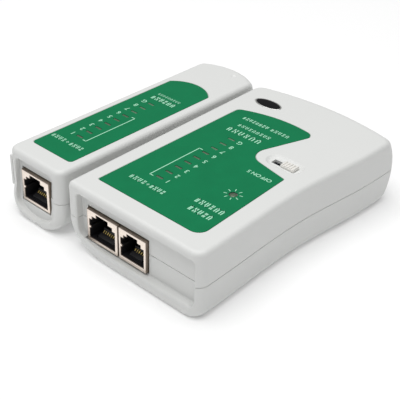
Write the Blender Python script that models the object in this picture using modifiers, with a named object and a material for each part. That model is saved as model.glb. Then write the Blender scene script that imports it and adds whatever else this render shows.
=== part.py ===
"""Network cable tester: a hand-held master unit and its detachable remote unit.

Each unit is a two-shell plastic case split at mid height, with a printed label, modular jacks,
a circuit board and a row of indicator LEDs.  The master also has a three-position slide switch,
a power LED and a 9 V battery behind a sliding door.

Units: the constants are millimetres, and every mesh is scaled to metres when it is made.
Frame: X right, Y from the socket end to the back, Z up, label side up.  The origin is the bottom
centre of the whole set.  Each unit is drawn in its own frame (x = 0 on its middle plane, y = 0 at
its front, z = 0 on the table) and is placed by an empty.
"""

import math

import bmesh
import bpy
from mathutils import Matrix, Vector

MM = 0.001

# ---- placing of the two units -------------------------------------------------------------
MASTER_PLACE = (17.55, -57.75)
REMOTE_PLACE = (-33.75, -59.25)

# ---- case heights -------------------------------------------------------------------------
CASE_HEIGHT = 27.8
SEAM_HEIGHT = 13.8
SEAM_GAP = 0.3
WALL = 2.0
FRONT_WALL = 5.2
TOP_EDGE_RADIUS = 2.8
GAP = 0.3

# ---- master plan --------------------------------------------------------------------------
MASTER_HALF_WIDTH = 32.0
MASTER_WAIST = 1.4
MASTER_BACK_FLARE = 1.9
MASTER_LEFT_FLARE = 1.5
MASTER_LENGTH = 117.0
MASTER_BACK_RADIUS = 116.0
MASTER_BACK_BULGE = 0.025
MASTER_FRONT_CORNER = 4.5
MASTER_BACK_CORNER = 5.0
MASTER_SIDE_BOTTOM_RADIUS = 4.6
MASTER_FRONT_BOTTOM_RADIUS = 1.8
HULL_WIDTH, HULL_HEIGHT = 26.0, 13.3
HULL_START, HULL_END = 12.0, 74.0

# ---- remote plan --------------------------------------------------------------------------
REMOTE_HALF_WIDTH = 14.8
REMOTE_LENGTH = 116.5
REMOTE_BACK_RADIUS = 24.0
REMOTE_BACK_BULGE = 0.018
REMOTE_FRONT_CORNER = 3.8
REMOTE_BACK_CORNER = 3.6
REMOTE_BOTTOM_RADIUS = 10.0
REMOTE_FRONT_BOTTOM_RADIUS = 2.0
REMOTE_CHIN = 1.8

# ---- jacks --------------------------------------------------------------------------------
JACK_HEIGHT = 13.4
JACK_DEPTH = 21.0
RJ45_WIDTH = 16.0
RJ11_WIDTH = 13.7
SHEET = 0.4
JACK_GAP = 0.4
# Steps of the plug windows: how far in from the side, and up to which height
RJ45_STEPS = ((1.4, 9.5), (2.8, 10.9), (5.0, 12.4))
RJ11_STEPS = ((1.2, 9.6), (2.6, 10.9), (4.3, 12.2))
WINDOW_BOTTOM = 1.5
RJ45_X = -16.4
RJ11_X = RJ45_X + RJ45_WIDTH / 2 + JACK_GAP + RJ11_WIDTH / 2
MASTER_JACK_Y = 2.0
MASTER_JACK_Z = 5.5
REMOTE_JACK_X = -1.2
REMOTE_JACK_Y = 2.9
REMOTE_JACK_Z = 6.4
CONTACT_PITCH = 1.02
CONTACT_SLOPE = 8.0

# ---- front recess -------------------------------------------------------------------------
RECESS_LEFT, RECESS_RIGHT = -28.7, 29.6
RECESS_TOP, RECESS_BOTTOM = 24.3, 5.0
RECESS_DEPTH = 3.2

# ---- board, LEDs, switch ------------------------------------------------------------------
BOARD_THICKNESS = 1.6
BOARD_BACK = 75.0
MASTER_BOARD_Z = MASTER_JACK_Z + JACK_HEIGHT + GAP
REMOTE_BOARD_Z = REMOTE_JACK_Z + JACK_HEIGHT + GAP
LED_COUNT = 9
LED_LENGTH, LED_WIDTH = 3.8, 1.5
LED_WINDOW = 0.3
LED_TOP = CASE_HEIGHT - 0.15
MASTER_LED_X, MASTER_LED_Y, MASTER_LED_PITCH = -10.6, 24.9, 4.85
REMOTE_LED_X, REMOTE_LED_Y, REMOTE_LED_PITCH = -1.3, 25.6, 4.75
POWER_LED = (15.4, 34.9)
POWER_LED_RADIUS = 1.5
CHIPS = (("timer_chip", (3.0, 44.0), (9.8, 6.4)), ("counter_chip", (6.0, 58.5), (6.4, 19.4)))
CHIP_HEIGHT = 3.4
CAPACITOR, CAPACITOR_RADIUS, CAPACITOR_HEIGHT = (-14.0, 46.0), 2.6, 11.0
LABEL_RECESS = 0.45
LABEL_THICKNESS = 0.3
BADGE = (-19.4, 96.6)
BADGE_LENGTH, BADGE_WIDTH = 12.6, 6.4

SWITCH_X, SWITCH_Y = 15.2, 63.9
SLOT_LENGTH, SLOT_WIDTH = 11.4, 4.6
DISH_LENGTH, DISH_WIDTH, DISH_DEPTH = 16.0, 8.0, 0.9
SWITCH_TRAVEL = 4.6
KNOB_LENGTH, KNOB_WIDTH = 6.2, 3.8
KNOB_TOP = CASE_HEIGHT + 0.4

# ---- battery bay --------------------------------------------------------------------------
BATTERY_SIZE = (45.5, 26.4, 17.4)
BATTERY_X, BATTERY_Y = 6.0, 94.4
BATTERY_Z = 3.9
STUD_HEIGHT, STUD_RADIUS, STUD_SPREAD = 2.8, 2.9, 6.35
SNAP_LENGTH, SNAP_WIDTH, SNAP_HEIGHT = 5.2, 25.2, 12.4
BAY_WALL_Y = 78.4
LEAD_NOTCH_X, LEAD_NOTCH_Z = -16.2, 10.4
LEAD_RADIUS = 0.65
DOOR_FRONT, DOOR_WIDTH = 79.0, 46.0
DOOR_FLANGE = 2.0
DOOR_X = 2.0

# ---- screws -------------------------------------------------------------------------------
MASTER_SCREWS = ((-23.2, 33.0), (26.2, 14.5), (-26.6, 73.5), (25.8, 73.5))
REMOTE_SCREWS = ((6.6, 34.5), (0.0, 98.0))
BOSS_RADIUS = 4.0
HEAD_RADIUS, HEAD_HEIGHT = 2.6, 1.9
SHANK_RADIUS, SHANK_LENGTH = 1.3, 12.5
SEAT_HEIGHT = 9.2

# ---- docking rail and channel -------------------------------------------------------------
RAIL_HEIGHT, RAIL_THICKNESS, RAIL_STANDOFF = 13.0, 1.3, 1.6
RAIL_BOTTOM = 8.7
RAIL_START, RAIL_END = 4.4, 36.4
CHANNEL_START, CHANNEL_END = 3.6, 60.0
CHANNEL_ENTRY = 25.0


# ---- materials ----------------------------------------------------------------------------
def material(name, color, roughness, metallic=0.0):
    made = bpy.data.materials.new(name)
    made.use_nodes = True
    shader = made.node_tree.nodes["Principled BSDF"]
    shader.inputs["Base Color"].default_value = (*color, 1.0)
    shader.inputs["Roughness"].default_value = roughness
    shader.inputs["Metallic"].default_value = metallic
    return made


# ---- mesh helpers -------------------------------------------------------------------------
def smoothstep(low, high, value):
    t = min(max((value - low) / (high - low), 0.0), 1.0)
    return t * t * (3 - 2 * t)


def mesh_from(bm, name):
    """Turn a bmesh in millimetres into a mesh in metres whose faces point out."""
    bmesh.ops.recalc_face_normals(bm, faces=bm.faces)
    bmesh.ops.scale(bm, vec=(MM, MM, MM), verts=bm.verts)
    mesh = bpy.data.meshes.new(name)
    bm.to_mesh(mesh)
    bm.free()
    return mesh


def add_box(bm, low, high):
    center = (Vector(low) + Vector(high)) / 2
    size = Vector(high) - Vector(low)
    bmesh.ops.create_cube(bm, size=1.0, matrix=Matrix.Translation(center) @ Matrix.Diagonal((*size, 1.0)))


def add_cylinder(bm, x, y, z_low, z_high, radius, sides=20):
    middle = Matrix.Translation((x, y, (z_low + z_high) / 2))
    bmesh.ops.create_cone(bm, cap_ends=True, segments=sides, radius1=radius, radius2=radius,
                          depth=z_high - z_low, matrix=middle)


def boxes(name, *pairs):
    bm = bmesh.new()
    for low, high in pairs:
        add_box(bm, low, high)
    return mesh_from(bm, name)


def cylinders(name, *rows, sides=20):
    bm = bmesh.new()
    for x, y, z_low, z_high, radius in rows:
        add_cylinder(bm, x, y, z_low, z_high, radius, sides)
    return mesh_from(bm, name)


def loft(name, rings):
    """Skin a row of rings with the same number of points, capped at both ends."""
    bm = bmesh.new()
    loops = [[bm.verts.new(point) for point in ring] for ring in rings]
    count = len(rings[0])
    for lower, upper in zip(loops, loops[1:]):
        for i in range(count):
            j = (i + 1) % count
            bm.faces.new((lower[i], lower[j], upper[j], upper[i]))
    bm.faces.new(list(reversed(loops[0])))
    bm.faces.new(loops[-1])
    return mesh_from(bm, name)


def prism(name, outlines, low, high, upright=False):
    """Extrude a flat outline, whose later loops are holes, from low to high.

    A flat prism runs along Z.  An upright one has its outline in XZ and runs along Y.
    """
    curve = bpy.data.curves.new(name, "CURVE")
    curve.dimensions = "2D"
    curve.fill_mode = "BOTH"
    curve.extrude = (high - low) / 2 * MM
    curve.render_resolution_u = 0
    for outline in outlines:
        spline = curve.splines.new("POLY")
        spline.points.add(len(outline) - 1)
        for point, (u, v) in zip(spline.points, outline):
            point.co = (u * MM, v * MM, 0.0, 1.0)
        spline.use_cyclic_u = True
    guide = bpy.data.objects.new(name, curve)
    bpy.context.scene.collection.objects.link(guide)
    bpy.context.view_layer.update()
    mesh = bpy.data.meshes.new_from_object(guide.evaluated_get(bpy.context.evaluated_depsgraph_get()))
    bpy.data.objects.remove(guide)
    bpy.data.curves.remove(curve)
    bm = bmesh.new()
    bm.from_mesh(mesh)
    bpy.data.meshes.remove(mesh)
    bmesh.ops.remove_doubles(bm, verts=bm.verts, dist=0.01 * MM)
    middle = (low + high) / 2 * MM
    if upright:
        bmesh.ops.rotate(bm, verts=bm.verts, cent=(0, 0, 0), matrix=Matrix.Rotation(math.pi / 2, 3, "X"))
        bmesh.ops.translate(bm, verts=bm.verts, vec=(0, middle, 0))
    else:
        bmesh.ops.translate(bm, verts=bm.verts, vec=(0, 0, middle))
    bmesh.ops.recalc_face_normals(bm, faces=bm.faces)
    made = bpy.data.meshes.new(name)
    bm.to_mesh(made)
    bm.free()
    return made


def fillet(before, corner, after, radius, steps=4):
    """Points of a round corner, as a rational quadratic between its two tangent points."""
    corner = Vector(corner)
    to_before = (Vector(before) - corner).normalized()
    to_after = (Vector(after) - corner).normalized()
    half = to_before.angle(to_after) / 2
    reach = radius / math.tan(half)
    start, end = corner + to_before * reach, corner + to_after * reach
    weight = math.sin(half)
    points = []
    for i in range(steps + 1):
        t = i / steps
        a, b, c = (1 - t) ** 2, 2 * t * (1 - t) * weight, t * t
        points.append((start * a + corner * b + end * c) / (a + b + c))
    return points


def rounded(corners, steps=4):
    """A flat outline from rows of x, y, radius.  Radius 0 keeps the corner sharp."""
    outline = []
    for i, (x, y, radius) in enumerate(corners):
        before, after = corners[i - 1][:2], corners[(i + 1) % len(corners)][:2]
        if radius > 0:
            outline += [tuple(p) for p in fillet(before, (x, y), after, radius, steps)]
        else:
            outline.append((x, y))
    return outline


# ---- scene helpers ------------------------------------------------------------------------
PARTS = None
CUTTERS = None


def part(name, mesh, finish, unit, place=(0, 0, 0), smooth=True):
    """Add one sub-part, drawn in its unit's frame with its origin moved to place."""
    made = bpy.data.objects.new(name, mesh)
    mesh.materials.clear()
    mesh.materials.append(finish)
    if smooth:
        mesh.shade_smooth()
        mesh.set_sharp_from_angle(angle=math.radians(35))
    mesh.transform(Matrix.Translation(-Vector(place) * MM))
    made.location = Vector(place) * MM
    made.parent = unit
    PARTS.objects.link(made)
    return made


def cutter(name, mesh, unit):
    made = bpy.data.objects.new(name, mesh)
    made.parent = unit
    made.hide_render = True
    made.display_type = "WIRE"
    CUTTERS.objects.link(made)
    return made


def combine(target, tool, operation="DIFFERENCE"):
    step = target.modifiers.new(operation.title(), "BOOLEAN")
    step.operation = operation
    step.solver = "EXACT"
    step.object = tool


# ---- case outlines ------------------------------------------------------------------------
def edge_inset(height, radius):
    """How far a quarter-round bottom edge of this radius lies inside the wall at a height."""
    if radius <= 0 or height >= radius:
        return 0.0
    return radius - math.sqrt(max(radius ** 2 - (radius - max(height, 0.0)) ** 2, 0.0))


def plan_ring(height, left, right, front, back, corners, stations):
    """One level of a case: four sides given as functions, joined by round corners."""
    front_radius, back_radius = corners
    side_count, back_count = stations
    right_front, left_front = Vector((right(front), front)), Vector((left(front), front))
    back_y = back(0.0)
    right_back = Vector((right(back_y), back(right(back_y))))
    left_back = Vector((left(back_y), back(left(back_y))))
    near = 2.0
    ring = []
    ring += fillet(left_front, right_front, Vector((right(front + near), front + near)), front_radius)
    low, high = front + front_radius, right_back.y - back_radius
    for i in range(1, side_count):
        y = low + (high - low) * i / side_count
        ring.append(Vector((right(y), y)))
    inner_x = right_back.x - near
    ring += fillet(Vector((right(right_back.y - near), right_back.y - near)), right_back,
                   Vector((inner_x, back(inner_x))), back_radius)
    low, high = right_back.x - back_radius, left_back.x + back_radius
    for i in range(1, back_count):
        x = low + (high - low) * i / back_count
        ring.append(Vector((x, back(x))))
    inner_x = left_back.x + near
    ring += fillet(Vector((inner_x, back(inner_x))), left_back,
                   Vector((left(left_back.y - near), left_back.y - near)), back_radius)
    low, high = left_back.y - back_radius, front + front_radius
    for i in range(1, side_count):
        y = low + (high - low) * i / side_count
        ring.append(Vector((left(y), y)))
    ring += fillet(Vector((left(front + near), front + near)), left_front, right_front, front_radius)
    return [Vector((p.x, p.y, height)) for p in ring]


def top_inset(shape_height):
    above = shape_height - (CASE_HEIGHT - TOP_EDGE_RADIUS)
    if above <= 0:
        return 0.0
    return TOP_EDGE_RADIUS - math.sqrt(max(TOP_EDGE_RADIUS ** 2 - above ** 2, 0.0))


def master_ring(height, shape_height, inset=0.0, front_inset=0.0):
    """The master's plan at a height, taken from the outer shape at shape_height."""
    z = shape_height
    round_in = top_inset(z)
    side_in = inset + round_in + edge_inset(z, MASTER_SIDE_BOTTOM_RADIUS)
    front = (front_inset or inset) + round_in + edge_inset(z, MASTER_FRONT_BOTTOM_RADIUS)
    back_y = MASTER_LENGTH - MASTER_BACK_BULGE * (z - SEAM_HEIGHT) ** 2 - side_in

    def right(y):
        waist = math.sin(math.pi * min(max(y / 100.0, 0.0), 1.0)) ** 2
        flare = smoothstep(50.0, 100.0, y)
        return MASTER_HALF_WIDTH - MASTER_WAIST * waist + MASTER_BACK_FLARE * flare - side_in

    def left(y):
        fade = 1 - smoothstep(HULL_START, HULL_END, y)
        width = MASTER_SIDE_BOTTOM_RADIUS + (HULL_WIDTH - MASTER_SIDE_BOTTOM_RADIUS) * fade
        depth = MASTER_SIDE_BOTTOM_RADIUS + (HULL_HEIGHT - MASTER_SIDE_BOTTOM_RADIUS) * fade
        below = min(max((depth - z) / depth, 0.0), 1.0)
        hull_in = width * (1 - math.sqrt(1 - below ** 2))
        flare = MASTER_LEFT_FLARE * min(max(y / 100.0, 0.0), 1.0)
        return -(MASTER_HALF_WIDTH + flare) + inset + round_in + hull_in

    def back(x):
        return back_y - x ** 2 / (2 * MASTER_BACK_RADIUS)

    shrink = inset + round_in
    corners = (max(MASTER_FRONT_CORNER - shrink, 1.2), max(MASTER_BACK_CORNER - shrink, 1.5))
    return plan_ring(height, left, right, front, back, corners, (9, 7))


def remote_ring(height, shape_height, inset=0.0, front_inset=0.0):
    z = shape_height
    round_in = top_inset(z)
    side_in = inset + round_in + edge_inset(z, REMOTE_BOTTOM_RADIUS)
    chin = REMOTE_CHIN * smoothstep(3.0, 14.0, z)
    front = (front_inset or inset) + round_in + edge_inset(z, REMOTE_FRONT_BOTTOM_RADIUS) + chin
    back_in = inset + round_in + edge_inset(z, MASTER_SIDE_BOTTOM_RADIUS)
    back_y = REMOTE_LENGTH - REMOTE_BACK_BULGE * (z - SEAM_HEIGHT) ** 2 - back_in

    def right(y):
        return REMOTE_HALF_WIDTH - side_in

    def left(y):
        return -REMOTE_HALF_WIDTH + side_in

    def back(x):
        return back_y - REMOTE_BACK_RADIUS + math.sqrt(REMOTE_BACK_RADIUS ** 2 - x ** 2)

    shrink = inset + round_in
    corners = (max(REMOTE_FRONT_CORNER - shrink, 1.2), max(REMOTE_BACK_CORNER - shrink, 1.2))
    return plan_ring(height, left, right, front, back, corners, (4, 7))


def top_shell_mesh(name, ring, front_wall):
    """The upper shell as one skin: ceiling, inner wall, seam, outer wall, top face."""
    seam = SEAM_HEIGHT + SEAM_GAP / 2
    ceiling = CASE_HEIGHT - WALL
    inner = [ring(z, z + WALL, WALL, front_wall) for z in (ceiling, ceiling - 0.9, ceiling - 2.8, seam)]
    start = CASE_HEIGHT - TOP_EDGE_RADIUS
    steps = 5
    arc = [start + TOP_EDGE_RADIUS * math.sin(math.pi / 2 * i / steps) for i in range(steps + 1)]
    levels = [seam, (seam + start) / 2] + arc
    return loft(name, inner + [ring(z, z) for z in levels])


def bottom_shell_mesh(name, ring, front_wall, side_radius):
    """The lower shell as one skin: floor, inner wall, seam, outer wall, underside."""
    seam = SEAM_HEIGHT - SEAM_GAP / 2
    steps = 6
    arc = [side_radius * (1 - math.cos(math.pi / 2 * i / steps)) for i in range(steps + 1)]
    levels = arc + [z for z in (7.0, 10.2) if z > arc[-1] + 1.0] + [seam]
    inner = [ring(z + WALL, z, WALL, front_wall) for z in levels if z + WALL < seam - 0.5]
    inner.append(ring(seam, seam - WALL, WALL, front_wall))
    outer = [ring(z, z) for z in reversed(levels)]
    return loft(name, inner + outer)


# ---- fittings that both units share -------------------------------------------------------
def jack_window(width, steps):
    """Plug opening in a jack's face: full width low down, stepping in towards the latch."""
    right = []
    low = WINDOW_BOTTOM
    for inset, high in steps:
        right += [(width / 2 - inset, low), (width / 2 - inset, high)]
        low = high
    return right + [(-x, z) for x, z in reversed(right)]


def make_jack(prefix, width, ways, steps, place, unit, finishes):
    """A shielded modular jack: sheet-metal shield, black insert and a comb of contacts."""
    x0, y0, z0 = place
    shield_finish, insert_finish, contact_finish = finishes
    half = width / 2
    low = (x0 - half, y0, z0)
    high = (x0 + half, y0 + JACK_DEPTH, z0 + JACK_HEIGHT)
    shield = part(prefix + "_shield", boxes(prefix + "_shield", (low, high)), shield_finish, unit)
    room_low = (x0 - half + SHEET, y0 + SHEET, z0 + SHEET)
    room_high = (x0 + half - SHEET, y0 + JACK_DEPTH - SHEET, z0 + JACK_HEIGHT - SHEET)
    room = cutter(prefix + "_shield_room", boxes(prefix + "_shield_room", (room_low, room_high)), unit)
    combine(shield, room)
    window_outline = [(x + x0, z + z0) for x, z in jack_window(width, steps)]
    window_mesh = prism(prefix + "_window", [window_outline], y0 - 1, y0 + 1, upright=True)
    combine(shield, cutter(prefix + "_window", window_mesh, unit))

    low = (x0 - half + SHEET + 0.2, y0 + SHEET + 0.2, z0 + SHEET + 0.2)
    high = (x0 + half - SHEET - 0.2, y0 + JACK_DEPTH - SHEET - 0.2, z0 + JACK_HEIGHT - SHEET - 0.2)
    insert = part(prefix + "_insert", boxes(prefix + "_insert", (low, high)), insert_finish, unit)
    cavity_outline = [(x + x0, z + z0) for x, z in jack_window(width - 0.2, steps)]
    cavity_mesh = prism(prefix + "_cavity", [cavity_outline], y0 - 1, y0 + 14.5, upright=True)
    combine(insert, cutter(prefix + "_cavity", cavity_mesh, unit))

    reach = CONTACT_PITCH * (ways - 1) / 2
    tooth = 0.25
    outline = [(-reach - 0.6, 9.0), (-reach - 0.6, 10.0), (reach + 0.6, 10.0), (reach + 0.6, 9.0)]
    for i in reversed(range(ways)):
        x = -reach + CONTACT_PITCH * i
        outline += [(x + tooth, 9.0), (x + tooth, 0.0), (x - tooth, 0.0), (x - tooth, 9.0)]
    comb = prism(prefix + "_contacts", [outline], -0.15, 0.15)
    comb.transform(Matrix.Translation(Vector((x0, y0 + 3.2, z0 + 1.95)) * MM)
                   @ Matrix.Rotation(math.radians(CONTACT_SLOPE), 4, "X"))
    part(prefix + "_contacts", comb, contact_finish, unit, smooth=False)


def led_mesh(name, x, y, board_top):
    """A rectangular indicator: a flanged foot and a tall flat-topped lens."""
    def rectangle(z, length, width):
        a, b = length / 2, width / 2
        return [Vector((x + sx * a, y + sy * b, z)) for sx, sy in ((1, -1), (1, 1), (-1, 1), (-1, -1))]

    foot = board_top + GAP
    length, width = LED_LENGTH, LED_WIDTH
    flange = (length + 1.2, width + 1.0)
    return loft(name, [rectangle(foot, *flange), rectangle(foot + 0.9, *flange),
                       rectangle(foot + 0.9, length, width), rectangle(LED_TOP, length, width)])


def make_leds(prefix, x, y, pitch, board_top, finish, unit):
    for i in range(LED_COUNT):
        name = prefix + ("_led_ground" if i == LED_COUNT - 1 else "_led_%d" % (i + 1))
        part(name, led_mesh(name, x, y + pitch * i, board_top), finish, unit, smooth=False)


def led_windows(x, y, pitch):
    """Boxes that cut one window per indicator through the top wall and the label."""
    a, b = LED_LENGTH / 2 + LED_WINDOW, LED_WIDTH / 2 + LED_WINDOW
    low, high = CASE_HEIGHT - WALL - 1, CASE_HEIGHT + 1
    return [((x - a, y + pitch * i - b, low), (x + a, y + pitch * i + b, high)) for i in range(LED_COUNT)]


def screw_mesh(name, x, y):
    """A pan-head screw driven up from the underside."""
    top = SEAT_HEIGHT - GAP
    radii = ((top - HEAD_HEIGHT, HEAD_RADIUS - 0.5), (top - HEAD_HEIGHT + 0.5, HEAD_RADIUS),
             (top, HEAD_RADIUS), (top, SHANK_RADIUS), (top + SHANK_LENGTH - 1.2, SHANK_RADIUS),
             (top + SHANK_LENGTH, 0.5))
    sides = 16
    rings = []
    for z, radius in radii:
        angles = [2 * math.pi * i / sides for i in range(sides)]
        rings.append([Vector((x + radius * math.cos(a), y + radius * math.sin(a), z)) for a in angles])
    return loft(name, rings)


def make_screws(prefix, places, top_shell, bottom_shell, unit, finish):
    """Screws, their bosses in both shells, and the counterbored holes they pass."""
    seam_low, seam_high = SEAM_HEIGHT - SEAM_GAP / 2, SEAM_HEIGHT + SEAM_GAP / 2
    ceiling = CASE_HEIGHT - WALL + 0.4
    lower = [(x, y, 1.6, seam_low, BOSS_RADIUS) for x, y in places]
    upper = [(x, y, seam_high, ceiling, BOSS_RADIUS - 0.8) for x, y in places]
    wells = [(x, y, -2.0, SEAT_HEIGHT, HEAD_RADIUS + 0.3) for x, y in places]
    hole = (SEAT_HEIGHT - 1.0, SEAT_HEIGHT + SHANK_LENGTH + 0.6, SHANK_RADIUS + 0.15)
    holes = [(x, y, *hole) for x, y in places]
    tools = {}
    for kind, rows in (("lower_bosses", lower), ("upper_bosses", upper), ("wells", wells), ("holes", holes)):
        name = "%s_screw_%s" % (prefix, kind)
        tools[kind] = cutter(name, cylinders(name, *rows), unit)
    combine(bottom_shell, tools["lower_bosses"], "UNION")
    combine(top_shell, tools["upper_bosses"], "UNION")
    combine(bottom_shell, tools["wells"])
    hole_tool = tools["holes"]
    combine(bottom_shell, hole_tool)
    combine(top_shell, hole_tool)
    for i, (x, y) in enumerate(places):
        name = "%s_screw_%d" % (prefix, i + 1)
        part(name, screw_mesh(name, x, y), finish, unit)


# ---- labels -------------------------------------------------------------------------------
def master_label_outline(grow=0.0):
    """Straight left and front edges, a notch round the switch, and a back edge on an arc."""
    left, right, front = -25.0 - grow, 23.9 + grow, 8.7 - grow

    def back(x):
        return 89.7 + grow - (x + 2.0) ** 2 / 100.0

    corners = [(left, front, 0.6), (right, front, 4.0), (21.6 + grow, 55.3 + grow, 0.4),
               (0.6 + grow, 59.6 + grow, 6.5), (9.4 + grow, back(9.4), 3.0)]
    stations = [9.4 - (9.4 - left) * i / 6 for i in range(1, 6)]
    corners += [(x, back(x), 0.0) for x in stations]
    corners.append((left, back(left), 2.6))
    return rounded(corners)


def remote_label_outline(grow=0.0):
    half, front, shoulder, rise = 10.85 + grow, 10.5 - grow, 84.6, 5.0
    radius = (half ** 2 + rise ** 2) / (2 * rise)
    center_y = shoulder + rise + grow - radius
    spread = math.asin(half / radius)
    arc = []
    for i in range(1, 8):
        angle = spread - 2 * spread * i / 8
        arc.append((radius * math.sin(angle), center_y + radius * math.cos(angle), 0.0))
    front_corners = [(-half, front, 1.4), (half, front, 1.4)]
    return rounded(front_corners + [(half, shoulder, 0.0)] + arc + [(-half, shoulder, 0.0)])


def window_loops(rows):
    return [[(lo[0], lo[1]), (lo[0], hi[1]), (hi[0], hi[1]), (hi[0], lo[1])] for lo, hi in rows]


def circle(x, y, radius, sides=20, stretch=1.0):
    angles = [2 * math.pi * i / sides for i in range(sides)]
    return [(x + stretch * radius * math.cos(a), y + radius * math.sin(a)) for a in angles]


def stadium(x, y, length, width, steps=6):
    half, radius = length / 2 - width / 2, width / 2
    outline = []
    for center, start in ((x + half, -math.pi / 2), (x - half, math.pi / 2)):
        for i in range(steps + 1):
            angle = start + math.pi * i / steps
            outline.append((center + radius * math.cos(angle), y + radius * math.sin(angle)))
    return outline


# ---- master unit --------------------------------------------------------------------------
def master_recess_outline():
    """Front recess: square at the top, and swept up at the lower left with the hull."""
    corners = [(RECESS_LEFT, RECESS_TOP, 1.6), (RECESS_LEFT, 8.6, 3.4), (-18.0, RECESS_BOTTOM, 9.0),
               (RECESS_RIGHT, RECESS_BOTTOM, 3.0), (RECESS_RIGHT, RECESS_TOP, 1.6)]
    return rounded(corners, steps=3)


def channel_boxes(grow=0.0):
    """T-shaped docking channel in the left wall, with an open pocket where the rail enters."""
    outer = -MASTER_HALF_WIDTH - 3.0
    lip = -MASTER_HALF_WIDTH + 1.5
    inner = lip + RAIL_THICKNESS + 0.9
    low, high = RAIL_BOTTOM - 0.5, RAIL_BOTTOM + RAIL_HEIGHT + 0.5
    return [((lip, CHANNEL_START, low), (inner, CHANNEL_END, high)),
            ((outer, CHANNEL_START, low + 3.2), (inner, CHANNEL_END, high - 3.2)),
            ((outer, CHANNEL_END - CHANNEL_ENTRY, low), (inner, CHANNEL_END, high))]


def make_master(unit, finish):
    top_mesh = top_shell_mesh("master_top_shell", master_ring, FRONT_WALL)
    top = part("master_top_shell", top_mesh, finish["case"], unit)
    bottom_mesh = bottom_shell_mesh("master_bottom_shell", master_ring, FRONT_WALL, MASTER_SIDE_BOTTOM_RADIUS)
    bottom = part("master_bottom_shell", bottom_mesh, finish["case"], unit)

    channel_wall = -MASTER_HALF_WIDTH + 1.5 + RAIL_THICKNESS + 0.9
    back = -MASTER_HALF_WIDTH + 0.9
    seam_low, seam_high = SEAM_HEIGHT - SEAM_GAP / 2, SEAM_HEIGHT + SEAM_GAP / 2
    for shell, low, high in ((bottom, 7.0, seam_low), (top, seam_high, 23.6)):
        name = shell.name + "_channel_block"
        block = boxes(name, ((back, 2.6, low), (channel_wall + 1.5, CHANNEL_END + 1.5, high)))
        combine(shell, cutter(name, block, unit), "UNION")
    wall_outline = [(-30.8, 1.0), (31.0, 1.0), (31.0, seam_low), (LEAD_NOTCH_X, seam_low),
                    (LEAD_NOTCH_X, LEAD_NOTCH_Z), (-30.8, LEAD_NOTCH_Z)]
    bay_wall = prism("battery_wall", [wall_outline], BAY_WALL_Y, BAY_WALL_Y + 1.6, upright=True)
    combine(bottom, cutter("battery_wall", bay_wall, unit), "UNION")
    make_screws("master", MASTER_SCREWS, top, bottom, unit, finish["steel"])

    recess = prism("front_recess", [master_recess_outline()], -2.0, RECESS_DEPTH, upright=True)
    recess_tool = cutter("front_recess", recess, unit)
    right = RJ11_X + RJ11_WIDTH / 2 + JACK_GAP
    left = RJ45_X - RJ45_WIDTH / 2 - JACK_GAP
    window = boxes("jack_window", ((left, -2.0, MASTER_JACK_Z - GAP),
                                   (right, MASTER_JACK_Y + JACK_DEPTH + 1,
                                    MASTER_JACK_Z + JACK_HEIGHT + 0.5)))
    window_tool = cutter("jack_window", window, unit)
    channel_tools = [cutter("channel_%d" % i, boxes("channel_%d" % i, pair), unit)
                     for i, pair in enumerate(channel_boxes())]
    for shell in (top, bottom):
        combine(shell, recess_tool)
        combine(shell, window_tool)
        for tool in channel_tools:
            combine(shell, tool)

    windows = led_windows(MASTER_LED_X, MASTER_LED_Y, MASTER_LED_PITCH)
    combine(top, cutter("master_led_windows", boxes("master_led_windows", *windows), unit))
    power = (*POWER_LED, CASE_HEIGHT - WALL - 1, CASE_HEIGHT + 1, POWER_LED_RADIUS + LED_WINDOW)
    combine(top, cutter("power_window", cylinders("power_window", power), unit))
    recess_floor = CASE_HEIGHT - LABEL_RECESS
    pocket = prism("master_label_pocket", [master_label_outline(0.2)], recess_floor, CASE_HEIGHT + 1)
    combine(top, cutter("master_label_pocket", pocket, unit))
    badge_grow = 0.2 / BADGE_WIDTH * 2
    badge_pocket = circle(*BADGE, BADGE_WIDTH / 2 * (1 + badge_grow), 28, BADGE_LENGTH / BADGE_WIDTH)
    badge_tool = prism("badge_pocket", [badge_pocket], recess_floor, CASE_HEIGHT + 1)
    combine(top, cutter("badge_pocket", badge_tool, unit))
    dish = prism("switch_dish", [stadium(SWITCH_X, SWITCH_Y, DISH_LENGTH, DISH_WIDTH)],
                 CASE_HEIGHT - DISH_DEPTH, CASE_HEIGHT + 1)
    combine(top, cutter("switch_dish", dish, unit))
    slot = ((SWITCH_X - SLOT_LENGTH / 2, SWITCH_Y - SLOT_WIDTH / 2, CASE_HEIGHT - WALL - 1),
            (SWITCH_X + SLOT_LENGTH / 2, SWITCH_Y + SLOT_WIDTH / 2, CASE_HEIGHT + 1))
    combine(top, cutter("switch_slot", boxes("switch_slot", slot), unit))

    make_door(unit, bottom, finish)
    make_master_label(unit, finish, windows)
    make_master_electronics(unit, finish)


def make_master_label(unit, finish, windows):
    low = CASE_HEIGHT - LABEL_RECESS + 0.1
    hole = circle(*POWER_LED, POWER_LED_RADIUS + LED_WINDOW)
    loops = [master_label_outline(), hole] + window_loops(windows)
    label = prism("master_label", loops, low, low + LABEL_THICKNESS)
    part("master_label", label, finish["label"], unit, smooth=False)
    oval = circle(*BADGE, BADGE_WIDTH / 2, 28, BADGE_LENGTH / BADGE_WIDTH)
    part("master_badge", prism("master_badge", [oval], low, low + LABEL_THICKNESS), finish["badge"], unit,
         smooth=False)


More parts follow.
